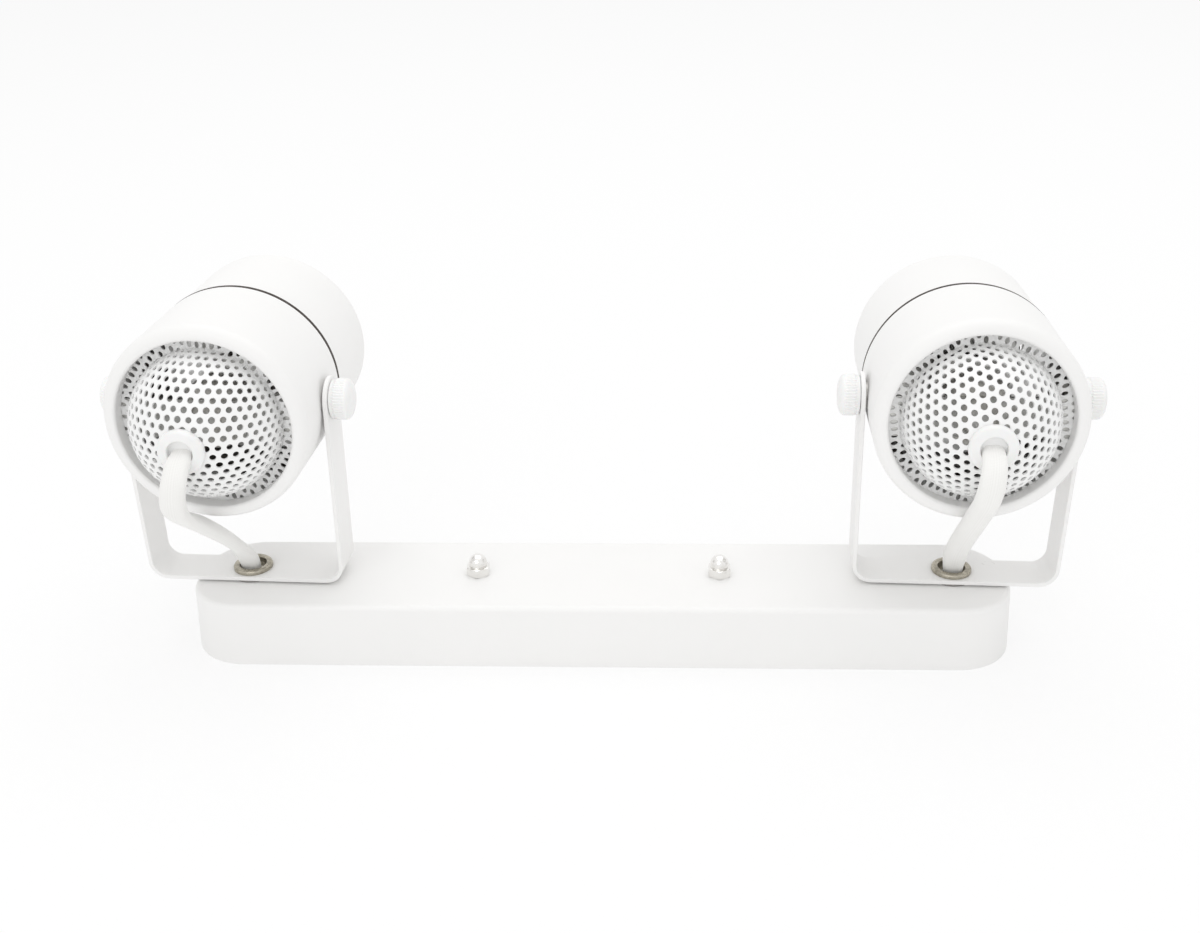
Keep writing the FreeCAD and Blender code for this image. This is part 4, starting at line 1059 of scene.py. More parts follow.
# ---------------------------------------------------------------- yoke
@dataclass
class Yoke(SidePart):
    """A strip blanked flat with three holes and round ends, then bent into a fork.

    Its place is on the swivel's axis at the canopy's top, turned with the yoke.
    """

    width: float = 0.0726        # over the arms at the base
    splay: float = 0.0010
    thickness: float = 0.0015
    strip: float = 0.0162
    bend: float = 0.0070         # radius outside a bend
    foot: float = 0.0008
    pivot: float = 0.0708
    swivel_hole: float = 0.00585
    pivot_hole: float = 0.0027
    edge: float = 0.00025

    def __post_init__(self) -> None:
        """Works out the strip's centre line from the outside sizes."""
        self.lean = math.atan2(self.splay, self.pivot - self.foot)
        self.middle_radius = self.bend - self.thickness / 2
        self.turn = math.pi / 2 - self.lean
        self.base = self.width / 2 - self.bend * math.tan(self.turn / 2)
        rise = self.pivot - self.foot - self.bend * math.tan(self.turn / 2) * math.cos(self.lean)
        self.bent = self.middle_radius * self.turn
        self.pivot_at = self.base + self.bent + rise / math.cos(self.lean)

    def bent_points(self, flat: Array) -> Array:
        """Where points of the flat blank lie once it is bent.

        A point runs straight along the base, then round the bend's middle radius, then straight
        up the leaning arm; its place across the strip doesn't change.

        Args:
            flat: Places along and across the blank, from its middle.

        Returns:
            Points in the yoke's own frame.
        """
        side, run, across = np.sign(flat[..., 0]), np.abs(flat[..., 0]), flat[..., 1]
        angle = np.clip(run - self.base, 0, self.bent) / self.middle_radius
        beyond = np.maximum(run - self.base - self.bent, 0)
        x = (np.minimum(run, self.base) + self.middle_radius * np.sin(angle)
             + beyond * np.cos(self.turn))
        z = self.middle_radius * (1 - np.cos(angle)) + beyond * np.sin(self.turn)
        return np.stack([side * x, across, self.foot + self.thickness / 2 + z], -1)

    def blank(self) -> list[Array]:
        """The blank as grids of flat points: a patch about each hole, and runs between them."""
        half = self.strip / 2
        angle = np.linspace(0, TAU, 65)[None, :]
        square = half / np.maximum(np.abs(np.cos(angle)), np.abs(np.sin(angle)))
        share = np.linspace(0, 1, 5)[:, None]

        def patch(hole: float, reach: Array, middle: float) -> Array:
            """Rings about a hole, whose radius goes from the hole's to the reach."""
            radius = hole * (1 - share) + reach * share
            return np.stack([middle + radius * np.cos(angle), radius * np.sin(angle)], -1)

        across = half * np.tan(np.linspace(-math.pi / 4, math.pi / 4, 17))
        runs = np.unique(np.concatenate([
            np.linspace(half, self.base, 7), self.base + np.linspace(0, self.bent, 15),
            np.linspace(self.base + self.bent, self.pivot_at - half, 13)]).round(9))
        grids = [patch(self.swivel_hole, square, 0.0)]
        for end in (-1, 1):
            outward = np.cos(angle) * end > 0
            grids.append(patch(self.pivot_hole, np.where(outward, half, square), end * self.pivot_at))
            grids.append(np.stack(np.meshgrid(end * runs, across, indexing="ij"), -1))
        return grids

    def make(self) -> None:
        """Builds one yoke; each grid faces up, so that the wall is raised the same way all over."""
        skins = []
        for flat in self.blank():
            skin = Skin.grid(self.bent_points(flat))
            a, b, c, _ = np.moveaxis(flat.reshape(-1, 2)[skin.faces], 1, 0)
            area = (b - a)[:, 0] * (c - a)[:, 1] - (b - a)[:, 1] * (c - a)[:, 0]
            skin.faces = np.where(area[:, None] < 0, skin.faces[:, ::-1], skin.faces)
            skins.append(skin)
        self.fit("bent_yoke", Skin.joined(skins), YOKE, self.body("yoke"), "yoke",
                 thickness=self.thickness, bevel=self.edge, sharp=60)


# ---------------------------------------------------------------- head
@dataclass
class Head(SidePart):
    """One spotlight head: barrel, lampholder, inserts, joint ring and the nubs in the seam.

    Its place, and that of all that the head carries, is on the tilt axis: x across, y along the beam.
    """

    outside: float = 0.0351
    wall: float = 0.0015
    rear: float = -0.026
    front: float = 0.0168        # front edge of the barrel's solid
    barrel_front: float = 0.0162 # front edge of the barrel that shows, where the seam begins
    opening: float = 0.030
    opening_round: float = 0.0010
    lip_end: float = -0.0202
    lip: float = 0.0013
    rim_round: float = 0.004
    neck: float = 0.0330
    neck_reach: float = 0.009
    ring_depth: float = 0.009
    ring_wall: float = 0.0012
    seam: float = 0.001
    band: float = 0.0351         # radius of the ring's band, which fills the seam and carries its painted shade
    band_gap: float = 2e-5
    nub_count: int = 3
    nub_radius: float = 0.00045
    nub_height: float = 0.0021
    nub_root: float = 0.0006
    holder_radius: float = 0.012
    holder_foot: float = 0.001   # chamfer at the lampholder's rear
    holder_step: float = 0.0008
    holder_cap: float = 0.006    # length of the lampholder's narrower front
    bracket_front: float = -0.0184
    holder_length: float = 0.0184
    insert_reach: float = 0.0357
    insert_radius: float = 0.0045
    insert_flange: float = 0.0065
    insert_thickness: float = 0.0015
    insert_bore: float = 0.00255

    def barrel(self) -> Skin:
        """A drawn tube: straight wall, rounded shoulder, flat rim and a lip rolled into the mouth."""
        inside, lip = self.outside - self.wall, self.opening + self.lip
        return Skin.lathed([
            (self.outside, self.barrel_front, EASED_EDGE), (self.outside, self.rear, self.rim_round),
            (self.opening, self.rear, self.opening_round), (self.opening, self.lip_end, BROKEN_EDGE),
            (lip, self.lip_end, BROKEN_EDGE), (lip, self.rear + self.wall, BROKEN_EDGE),
            (inside, self.rear + self.wall, self.rim_round - self.wall),
            (inside, self.barrel_front, EASED_EDGE),
        ], Axis.Y, 9, 160)

    def joint_ring(self) -> Skin:
        """The ring in the barrel's mouth, its band that fills the seam in near-black as painted shade, and
        the neck for the sleeve.
        """
        seat, inside = self.outside - self.wall - FIT, self.neck - self.ring_wall
        rear, tip = self.front - self.ring_depth, self.front + self.neck_reach
        first, last = self.barrel_front + self.band_gap, self.front + self.seam - FIT
        profile = rounded([(inside, rear), (seat, rear), (seat, first), (self.band, first),
                           (self.band, last), (self.neck, last), (self.neck, tip), (inside, tip)],
                          CUT_EDGE, 3)
        return Skin.turned(profile, Axis.Y, 160)

    def nub(self, angle: float) -> Skin:
        """A small domed nub on the neck at that angle, in the middle of the seam."""
        radius, turn = self.nub_radius, np.linspace(0, math.pi / 2, 6)
        dome = np.stack([radius * np.cos(turn), self.nub_height - radius * (1 - np.sin(turn))], -1)
        profile = np.concatenate([[(0, -self.nub_root), (radius, -self.nub_root)], dome])
        c, s = math.cos(angle), math.sin(angle)
        axes = np.array([[c, 0, -s], [0, 1, 0], [s, 0, c]])
        middle = axes[2] * self.neck + [0, self.front + self.seam / 2, 0]
        return Skin.turned(profile, Axis.Z, 16, closed=False).moved(Place(middle, axes))

    def lampholder(self) -> Skin:
        """A ceramic drum with a waist, a stepped front and rounded edges."""
        rear, front = self.bracket_front, self.bracket_front + self.holder_length
        radius, narrow = self.holder_radius, self.holder_radius - self.holder_step
        return Skin.lathed([
            (0, rear, 0), (radius - self.holder_foot, rear, self.holder_foot),
            (radius, rear + 2 * self.holder_foot, self.holder_foot),
            (radius, front - self.holder_cap, EASED_EDGE),
            (narrow, front - self.holder_cap + 0.0005, EASED_EDGE),
            (narrow, front, self.holder_step), (0, front, 0),
        ], Axis.Y, 5, 72, closed=False)

    def inserts(self) -> Skin:
        """Two threaded inserts: a flange inside the barrel's wall and a neck that meets the arm."""
        inside = math.sqrt((self.outside - self.wall) ** 2 - self.insert_flange ** 2)
        back = inside - self.insert_thickness
        profile = rounded([
            (self.insert_bore, back), (self.insert_flange, back), (self.insert_flange, inside),
            (self.insert_radius, inside), (self.insert_radius, self.insert_reach),
            (self.insert_bore, self.insert_reach)],
            [STAMPED_EDGE, EASED_EDGE, STAMPED_EDGE, STAMPED_EDGE, BROKEN_EDGE, STAMPED_EDGE], 4)
        return Skin.joined([Skin.turned(profile * [1, end], Axis.X, 72) for end in (-1, 1)])

    def make(self) -> None:
        """Builds the head's fixed pieces."""
        nubs = [self.nub(k * TAU / self.nub_count) for k in range(self.nub_count)]
        for name, skin, finish, node in (
            ("drawn_barrel", self.barrel(), HEAD, "barrel"),
            ("neck_ring", self.joint_ring(), SEAM_SHADE_RING, "joint_ring"),
            ("ceramic_holder", self.lampholder(), HOLDER, "lampholder"),
            ("riveted_inserts", self.inserts(), INSERT, "pivot_inserts"),
            ("seam_nubs", Skin.joined(nubs), NUB, ""),
        ):
            self.fit(name, skin, finish, self.body("head"), node)
        ZINC.dress(f"holder_bracket_{self.tag}")


@dataclass
class Dome(SidePart):
    """The perforated hat in a head's rear opening, drawn from a sheet punched in a lattice."""

    turn: float                  # how far the lattice is turned about the beam
    seed: int                    # of the small differences between the vents
    shift: tuple[float, float] = (0.0014, 0.0)
    radius: float = 0.026
    wall: float = 0.0006
    brim: float = 0.0332
    seat: float = -0.0202        # the brim's rear face on the beam's axis
    mouth: float = 0.0060        # radius of the opening under the collar
    fold: float = 0.0006         # radius between the dome and its brim
    vent: float = 0.0011
    spread: float = 0.05         # how much the vents' radii differ
    pitch: float = 0.00367
    stretch: float = 0.02
    brim_stretch: float = 1.1
    sheet_share: float = 0.56    # share of the dome's radius that the sheet has beyond the brim's
    bare_mouth: float = 0.0004   # width without vents round the mouth
    bare_edge: float = 2.5       # width without vents at the brim's edge, in vent radii
    corners: int = 12
    rings: int = 3
    lattice: int = 22            # cells from the middle to the lattice's edge, or a few more

    def section(self) -> tuple[Array, Array]:
        """The hat's outer section from the crown: places (radius, along), and the length to each."""
        angle = np.linspace(0, math.pi / 2 - self.fold / self.radius, 400)
        ball = np.stack([self.radius * np.sin(angle), self.seat - self.radius * np.cos(angle)], -1)
        fold = rounded([ball[-1], (self.radius, self.seat), (self.brim, self.seat)], self.fold * 0.95, 12,
                       closed=False)
        line = np.concatenate([ball[:-1], fold])
        return line, lengths_along(line)

    def drawn(self, flat: Array, depth: float) -> Array:
        """Where points of the punched sheet lie once it is drawn into the hat.

        A point at a radius on the sheet goes to the polar angle whose stretched arc is that
        radius, or, past the equator, out along the brim. Its turn about the axis doesn't change.

        Args:
            flat: Places on the sheet.
            depth: How far below the outer face the point lies, through the wall.

        Returns:
            Points in the head's frame.
        """
        line, length = self.section()
        reach = np.hypot(flat[..., 0], flat[..., 1])
        polar = np.linspace(0, math.pi / 2, 500)
        sheet = self.radius * polar * (1 - self.stretch * polar ** 2)
        arc = np.interp(reach, sheet, self.radius * polar)
        arc = arc + np.maximum(reach - sheet[-1], 0) * self.brim_stretch
        arc = np.clip(arc, self.mouth, length[-1])
        tangent = np.gradient(line, length, axis=0)
        radius, along, slope_r, slope_s = (
            np.interp(arc, length, values) for values in (*line.T, *tangent.T))
        size = np.hypot(slope_r, slope_s)
        angle = np.arctan2(flat[..., 0], flat[..., 1])
        return Axis.Y.turn(radius - depth * slope_s / size, along + depth * slope_r / size, angle)

    def cells(self) -> tuple[Array, Array]:
        """The lattice's cells on the sheet.

        Returns:
            Each cell's middle, and the radius of its vent: none under the collar's neck or past
            the brim's edge.
        """
        steps = np.arange(-self.lattice, self.lattice + 1)
        i, j = np.meshgrid(steps, steps)
        x = self.pitch * (i + j / 2).ravel() + self.shift[0]
        y = self.pitch * (j * math.sqrt(3) / 2).ravel() + self.shift[1]
        distance = np.hypot(x, y)
        edge = self.brim + self.radius * self.sheet_share
        on_sheet = distance < edge
        middle, distance = np.stack([x, y], -1)[on_sheet], distance[on_sheet]
        random = np.random.default_rng(self.seed)
        vent = self.vent * (1 + self.spread * random.standard_normal(len(middle)).clip(-1.5, 1.5))
        punched = (distance > self.mouth + self.vent + self.bare_mouth) & (
            distance < edge - self.bare_edge * self.vent)
        return middle, np.where(punched, vent, 0.0)

    def skin(self) -> Skin:
        """Rings from each vent's edge to its hexagonal cell, on both faces, and the vents' walls."""
        middle, vent = self.cells()
        angle = np.arange(self.corners) * TAU / self.corners
        hexagon = hexagon_reach(angle, self.pitch)
        share = np.linspace(0, 1, self.rings + 1)[None, :, None]
        ring = vent[:, None, None] * (1 - share) + hexagon[None, None, :] * share
        spoke = np.stack([np.cos(angle), np.sin(angle)], -1)
        c, s = math.cos(self.turn), math.sin(self.turn)
        flat = (middle[:, None, None] + ring[..., None] * spoke) @ np.array([[c, s], [-s, c]])
        outer, inner = self.drawn(flat, 0.0), self.drawn(flat, self.wall)
        loop = np.concatenate([outer[:, ::-1], inner], 1)
        rows = loop.shape[1]
        one = quads(rows, self.corners, False, True)
        faces = one[None] + (np.arange(len(middle)) * rows * self.corners)[:, None, None]
        return Skin(loop.reshape(-1, 3), faces.reshape(-1, 4))

    def make(self) -> None:
        """Builds one dome."""
        self.fit("perforated_dome", self.skin(), DOME, self.body("head"), "dome", weld=1.2e-5, sharp=50)


@dataclass
class Collar(SidePart):
    """The plastic bushing on the dome's crown that the lead leaves by."""

    apex: float = -0.0462
    radius: float = 0.0078
    bore: float = 0.00425
    rise: float = 0.0016         # height of each flange
    dome_radius: float = 0.026
    dome_middle: float = -0.0202
    dome_wall: float = 0.0006
    grip: float = 0.0006         # how far the inner flange stands off its edge on the dome
    neck: float = 0.0057
    inside: float = 0.0068
    slope: float = 0.0005        # how far the outer flange falls away to its rim
    rim_round: float = 0.0013

    def skin(self) -> Skin:
        """A rolled outer flange that sinks onto the dome, a neck, and an inner flange."""
        seat = self.dome_middle - math.sqrt(self.dome_radius ** 2 - self.radius ** 2) - CUT_EDGE
        hollow = self.dome_radius - self.dome_wall
        grip = self.dome_middle - math.sqrt(hollow ** 2 - self.inside ** 2) + self.grip
        top = self.apex - self.rise
        return Skin.lathed([
            (self.bore, grip + self.rise, EASED_EDGE), (self.bore, top, self.slope),
            (self.radius, top + self.slope, self.rim_round), (self.radius, seat, CUT_EDGE),
            (self.neck, self.apex - CUT_EDGE, CUT_EDGE), (self.neck, grip, CUT_EDGE),
            (self.inside, grip, BROKEN_EDGE), (self.inside, grip + self.rise, self.slope),
        ], Axis.Y, 8, 96)

    def make(self) -> None:
        """Builds one collar."""
        self.fit("lead_bushing", self.skin(), COLLAR, self.body("head"), "cord_collar")


@dataclass
class ThumbScrew(SidePart):
    """A ribbed knob on one end of the tilt axis, and the steel screw moulded into it."""

    name: str                    # "inner" or "outer"
    sign: int                    # which end of the tilt axis it is on
    face: float = 0.03745
    radius: float = 0.00725
    length: float = 0.0073
    collar: float = 0.0016
    crown: float = 0.0024        # length of the domed end
    crown_flat: float = 0.35     # share of the radius that the end's flat takes up
    ribs: int = 44
    rib_steps: int = 8           # steps of angle to a rib
    rib_depth: float = 0.0003
    rib_start: float = 1e-4      # length over which the ribs begin above the collar
    rib_end: float = 0.0008      # how far the ribs run onto the domed end
    rib_fade: float = 0.0012     # length over which they fade out there
    screw: float = 0.0025
    seat: float = 0.004          # how far the screw reaches into the knob
    tip: float = 0.0296
    pitch: float = 0.0008

    @property
    def tag(self) -> str:
        """How the names of its nodes, pieces and body end."""
        return f"{self.side.value}_{self.name}"

    def knob(self) -> Skin:
        """A collar, a ribbed grip and a domed end: the ribs are a wave of the angle that fades out."""
        end, grip = self.face + self.length, self.face + self.collar
        low, middle = self.radius - self.rib_depth, self.radius * self.crown_flat
        foot = rounded([(self.screw, self.face), (low, self.face), (low, grip)], EASED_EDGE, 6, closed=False)
        wall = np.stack([np.full(10, self.radius),
                         np.linspace(grip + self.rib_start, end - self.crown, 10)], -1)
        turn = np.linspace(0, math.pi / 2, 16)[1:]
        crown = np.stack([middle + (self.radius - middle) * np.cos(turn),
                          end - self.crown * (1 - np.sin(turn))], -1)
        flat = np.stack([np.linspace(middle, 0, 4)[1:], np.full(3, end)], -1)
        profile = np.concatenate([foot, wall, crown, flat])
        along = profile[:, 1:]
        angle = full_turn(self.ribs * self.rib_steps)
        starts = np.clip((along - grip) / self.rib_start, 0, 1)
        ends = np.clip((end - self.crown + self.rib_end - along) / self.rib_fade, 0, 1)
        wave = (1 - np.cos(self.ribs * angle)) / 2
        radius = profile[:, :1] - self.rib_depth * wave * starts * ends
        return Skin.grid(Axis.X.turn(radius, along * self.sign, angle), False, True)

    def thread(self) -> Skin:
        """The screw's rod, laid from its tip out along the tilt axis."""
        rod = threaded_rod(self.screw, self.pitch, self.face + self.seat - self.tip)
        x, y, z = rod.points.T
        return Skin(np.stack([(self.tip + z) * self.sign, x, y * self.sign], -1), rod.faces)

    def make(self) -> None:
        """Builds one thumb screw."""
        body = self.body("thumb_screw")
        self.fit("ribbed_knob", self.knob(), KNOB, body, "knob", sharp=80, weighted=False)
        self.fit("screw_thread", self.thread(), SCREW, body, "thumb_screw", weighted=False)


@dataclass
class Sleeve(SidePart):
    """The front sleeve that slides on the joint ring's neck."""

    outside: float = 0.0343
    wall: float = 0.0012
    start: float = 0.0178
    front: float = 0.0582
    lip: float = 0.0285
    edge: float = 0.0012

    def skin(self) -> Skin:
        """A tube with a broken rear edge and a flange turned in at the front."""
        inside, back = self.outside - self.wall, self.front - self.wall
        return Skin.lathed([
            (inside, self.start, BROKEN_EDGE), (self.outside, self.start, EASED_EDGE),
            (self.outside, self.front, self.edge), (self.lip, self.front, EASED_EDGE),
            (self.lip, back, EASED_EDGE), (inside, back, BROKEN_EDGE),
        ], Axis.Y, 8, 160)

    def make(self) -> None:
        """Builds one sleeve."""
        self.fit("sliding_sleeve", self.skin(), HEAD, self.body("sleeve"), "front_sleeve")


@dataclass
class Lamp(SidePart):
    """A reflector lamp: a faceted glass bowl, a capsule in it, a front lens and two footed pins."""

    foot: float = 0.00005
    length: float = 0.046
    radius: float = 0.025
    rim: float = 0.003
    neck: float = 0.010
    shoulder: float = 0.013
    floor: float = 0.004         # thickness of the glass under the reflector
    throat: float = 0.0045       # radius of the reflector at its floor
    lens_radius: float = 0.022
    lens_thickness: float = 0.0015
    lens_edge: float = 0.0008    # width of the lens's plain edge
    lens_ring: float = 0.0022    # width of one of the lens's rings
    lens_wave: float = 0.00012
    facets: int = 36
    facet_rows: int = 14
    facet_depth: float = 0.00035
    pin_spacing: float = 0.010
    pin_length: float = 0.005
    pin_foot: float = 0.0016     # length of a pin's foot
    pin_radii: tuple[float, float] = (0.0015, 0.0025)
    capsule_base: float = 0.003
    capsule_radii: tuple[float, float] = (0.0032, 0.0045)
    capsule_levels: tuple[float, float, float, float] = (0.012, 0.013, 0.021, 0.0235)

    @property
    def face(self) -> float:
        """Where the lamp's front is, along the beam."""
        return self.foot + self.length

    def outer(self) -> Array:
        """The bowl's outside from its foot to the lens: places (radius, along)."""
        step = 0.001
        return rounded([(0, self.foot), (self.neck, self.foot), (self.neck, self.foot + self.shoulder),
                        (self.radius - step, self.face - self.rim), (self.radius, self.face - self.rim),
                        (self.radius, self.face), (self.lens_radius + FIT, self.face)],
                       [0, step, 0.006, step, BROKEN_EDGE, step, 0], 8, closed=False)

    def inner(self) -> Array:
        """The reflector from the lens to its floor, where the radius is as the root of the depth."""
        depth = np.linspace(1, 0, 40) ** 1.4
        floor, brim = self.foot + self.shoulder + self.floor, self.face - self.lens_thickness
        wide = self.lens_radius - self.throat - 0.0007
        curve = np.stack([self.throat + wide * np.sqrt(depth), floor + (brim - floor) * depth], -1)
        return np.concatenate([[(self.lens_radius + FIT, brim)], curve, [(0, floor)]])

    def bowl(self) -> Skin:
        """The bowl: each facet of the reflector stands in where two triangle waves are both low."""
        angle = full_turn(self.facets * 4)
        outside, inside = self.outer(), self.inner()
        across = triangle(np.linspace(0, self.facet_rows, len(inside)))[:, None]
        facet = triangle(angle * self.facets / TAU)
        dimple = self.facet_depth * (1 - facet) * (1 - across) * np.clip(inside[:, :1] / 0.01, 0, 1)
        dimple[[0, 1, -1]] = 0
        radius = np.concatenate([outside[:, :1] + 0 * angle, inside[:, :1] + dimple])
        along = np.concatenate([outside[:, 1:], inside[:, 1:]])
        return Skin.grid(Axis.Y.turn(radius, along, angle), False, True)

    def capsule(self) -> Skin:
        """A small closed burner on the beam's axis."""
        base = self.foot + self.shoulder + self.capsule_base
        slim, wide = self.capsule_radii
        neck, shoulder, top, tip = (base + level for level in self.capsule_levels)
        return Skin.lathed([(0, base, 0), (slim, base, EASED_EDGE), (slim, neck, 0.0008),
                            (wide, shoulder, 0.001), (wide, top, 0.002), (0, tip, 0)],
                           Axis.Y, 6, 48, closed=False)

    def lens(self) -> Skin:
        """A disc with a softly stepped face: rings of shallow waves."""
        back, flat = self.face - self.lens_thickness, self.lens_radius - self.lens_edge
        reach = np.linspace(0, flat, 60)
        wave = self.lens_wave * (1 - np.cos(reach / self.lens_ring * TAU)) / 2
        front = np.stack([reach, self.face - CUT_EDGE - wave], -1)
        edge = rounded([(flat, self.face - CUT_EDGE), (self.lens_radius, self.face - 2 * CUT_EDGE),
                        (self.lens_radius, back), (0, back)],
                       [0, BROKEN_EDGE, STAMPED_EDGE, 0], 4, closed=False)
        return Skin.turned(np.concatenate([front, edge[1:]]), Axis.Y, 96, closed=False)

    def pins(self) -> Skin:
        """Two footed pins that lock in the lampholder."""
        slim, wide = self.pin_radii
        end = self.foot - self.pin_length
        step = end + self.pin_foot
        pin = Skin.lathed([(0, self.foot, 0), (slim, self.foot, 0), (slim, step, BROKEN_EDGE),
                           (wide, step, EASED_EDGE), (wide, end, EASED_EDGE), (0, end, 0)],
                          Axis.Y, 4, 32, closed=False)
        return Skin.joined([pin.shifted(x=end * self.pin_spacing / 2) for end in (-1, 1)])

    def make(self) -> None:
        """Builds one lamp."""
        for name, skin, finish, node, sharp in (
            ("reflector_bowl", self.bowl(), LAMP, "lamp", 24),
            ("halogen_capsule", self.capsule(), CAPSULE, "", 40),
            ("stepped_lens", self.lens(), LENS, "lamp_lens", 60),
            ("footed_pins", self.pins(), PIN, "lamp_pins", 32),
        ):
            self.fit(name, skin, finish, self.body("lamp"), node, sharp=sharp)


# ---------------------------------------------------------------- leads
@dataclass
class Lead:
    """A sleeved lead: a flat braided tube that leaves the collar, bends down and enters the bush."""

    side: Side
    route: Sequence[tuple[float, float, float]]
    twist: Sequence[tuple[float, float]]      # (share of the length, turn of the flat in degrees)
    width: float = 0.0082
    thickness: float = 0.0050
    bore_width: float = 0.0068
    collar_end: float = 0.30     # share of the length at which the collar no longer narrows the lead
    collar_ease: float = 0.12    # share over which it widens there
    bush_start: float = 0.86     # share at which the bush begins to narrow it
    bush_ease: float = 0.06
    power: float = 0.72
    girth: float = 0.82          # length round the section over that round its box
    columns: int = 48
    head_points: int = 30        # points of the line at the head's end
    yoke_points: int = 12        # points of the line at the yoke's end

    def line(self) -> Array:
        """Points read from the smooth curve whose control points are the route."""
        curve = bpy.data.curves.new(f"route_{self.side.value}", "CURVE")
        curve.dimensions = "3D"
        spline = curve.splines.new("NURBS")
        spline.points.add(len(self.route) - 1)
        spline.points.foreach_set("co", [c for p in self.route for c in (*p, 1.0)])
        spline.order_u = 3
        spline.use_endpoint_u = True
        spline.resolution_u = 16
        holder = bpy.data.objects.new(curve.name, curve)
        mesh = bpy.data.meshes.new_from_object(holder)
        points = np.empty(len(mesh.vertices) * 3)
        mesh.vertices.foreach_get("co", points)
        bpy.data.objects.remove(holder)
        bpy.data.curves.remove(curve)
        bpy.data.meshes.remove(mesh)
        return points.reshape(-1, 3)

    def skin(self, line: Array) -> Skin:
        """A rounded flat section carried along the line.

        The section is a superellipse. Its flat side starts square to the canopy's length and is
        turned about the line by the twist, and it narrows where the collar and bush hold it.

        Args:
            line: The points that the lead follows.

        Returns:
            The lead, with a pattern of even spacing for its braid.
        """
        length = lengths_along(line)
        share = length / length[-1]
        tangent = unit(np.gradient(line, length, axis=0))
        across = unit(np.array([1.0, 0, 0]) - tangent * tangent[:, :1])
        normal = np.cross(tangent, across)
        turn = np.radians(np.interp(share, *zip(*self.twist)))[:, None]
        across, normal = (across * np.cos(turn) + normal * np.sin(turn),
                          normal * np.cos(turn) - across * np.sin(turn))
        held = np.maximum(np.clip((self.collar_end - share) / self.collar_ease, 0, 1),
                          np.clip((share - self.bush_start) / self.bush_ease, 0, 1))
        half_width = (self.width * (1 - held) + self.bore_width * held)[:, None] / 2
        x, y = superellipse(full_turn(self.columns), half_width, self.thickness / 2, self.power)
        wall = line[:, None] + x[..., None] * across[:, None] + y[..., None] * normal[:, None]
        ends = [np.repeat(line[i][None, None], self.columns, 1) for i in (0, -1)]
        around = 2 * (self.width + self.thickness) * self.girth
        points = np.concatenate([ends[0], wall, ends[1]])
        return Skin.grid(points, False, True, (around / self.columns, length[-1] / len(line)))

    def make(self) -> None:
        """Builds one lead in the light's own frame."""
        side, line = self.side.value, self.line()
        piece = Piece(f"sleeved_lead_{side}", self.skin(line), SLEEVING, f"yoke_{side}",
                      [f"lead_{side}"], sharp=60)
        lead = piece.mesh_object()
        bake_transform(lead)
        piece.finish_off(lead)


ROUTES = {
    Side.LEFT: [
        (-0.12930, -0.01845, 0.09493), (-0.12998, -0.0340, 0.0940), (-0.1306, -0.0496, 0.0936),
        (-0.1312, -0.0550, 0.0882), (-0.1332, -0.0540, 0.0804), (-0.1346, -0.0475, 0.0722),
        (-0.1326, -0.0350, 0.0632), (-0.1304, -0.0215, 0.0514), (-0.1295, -0.0095, 0.0402),
        (-0.1293, -0.0008, 0.0304), (-0.1291, 0.0, 0.0230), (-0.1289, 0.0, 0.0160),
    ],
    Side.RIGHT: [
        (0.12770, -0.01842, 0.09557), (0.12702, -0.0340, 0.0952), (0.1264, -0.0498, 0.0954),
        (0.1253, -0.0552, 0.0900), (0.1246, -0.0540, 0.0826), (0.1251, -0.0465, 0.0754),
        (0.1262, -0.0340, 0.0642), (0.1269, -0.0210, 0.0519), (0.1275, -0.0090, 0.0398),
        (0.1287, -0.0011, 0.0302), (0.1292, 0.0, 0.0230), (0.1290, 0.0, 0.0160),
    ],
}
TWISTS = {
    Side.LEFT: [(0.0, 0), (0.35, 0), (0.55, 45), (0.75, 40), (0.9, 10), (1.0, 0)],
    Side.RIGHT: [(0.0, 0), (0.35, 0), (0.6, 8), (0.85, 5), (1.0, 0)],
}
VENT_TURNS = {Side.LEFT: math.radians(56.0), Side.RIGHT: math.radians(37.5)}
VENT_SEEDS = {Side.LEFT: 7, Side.RIGHT: 11}


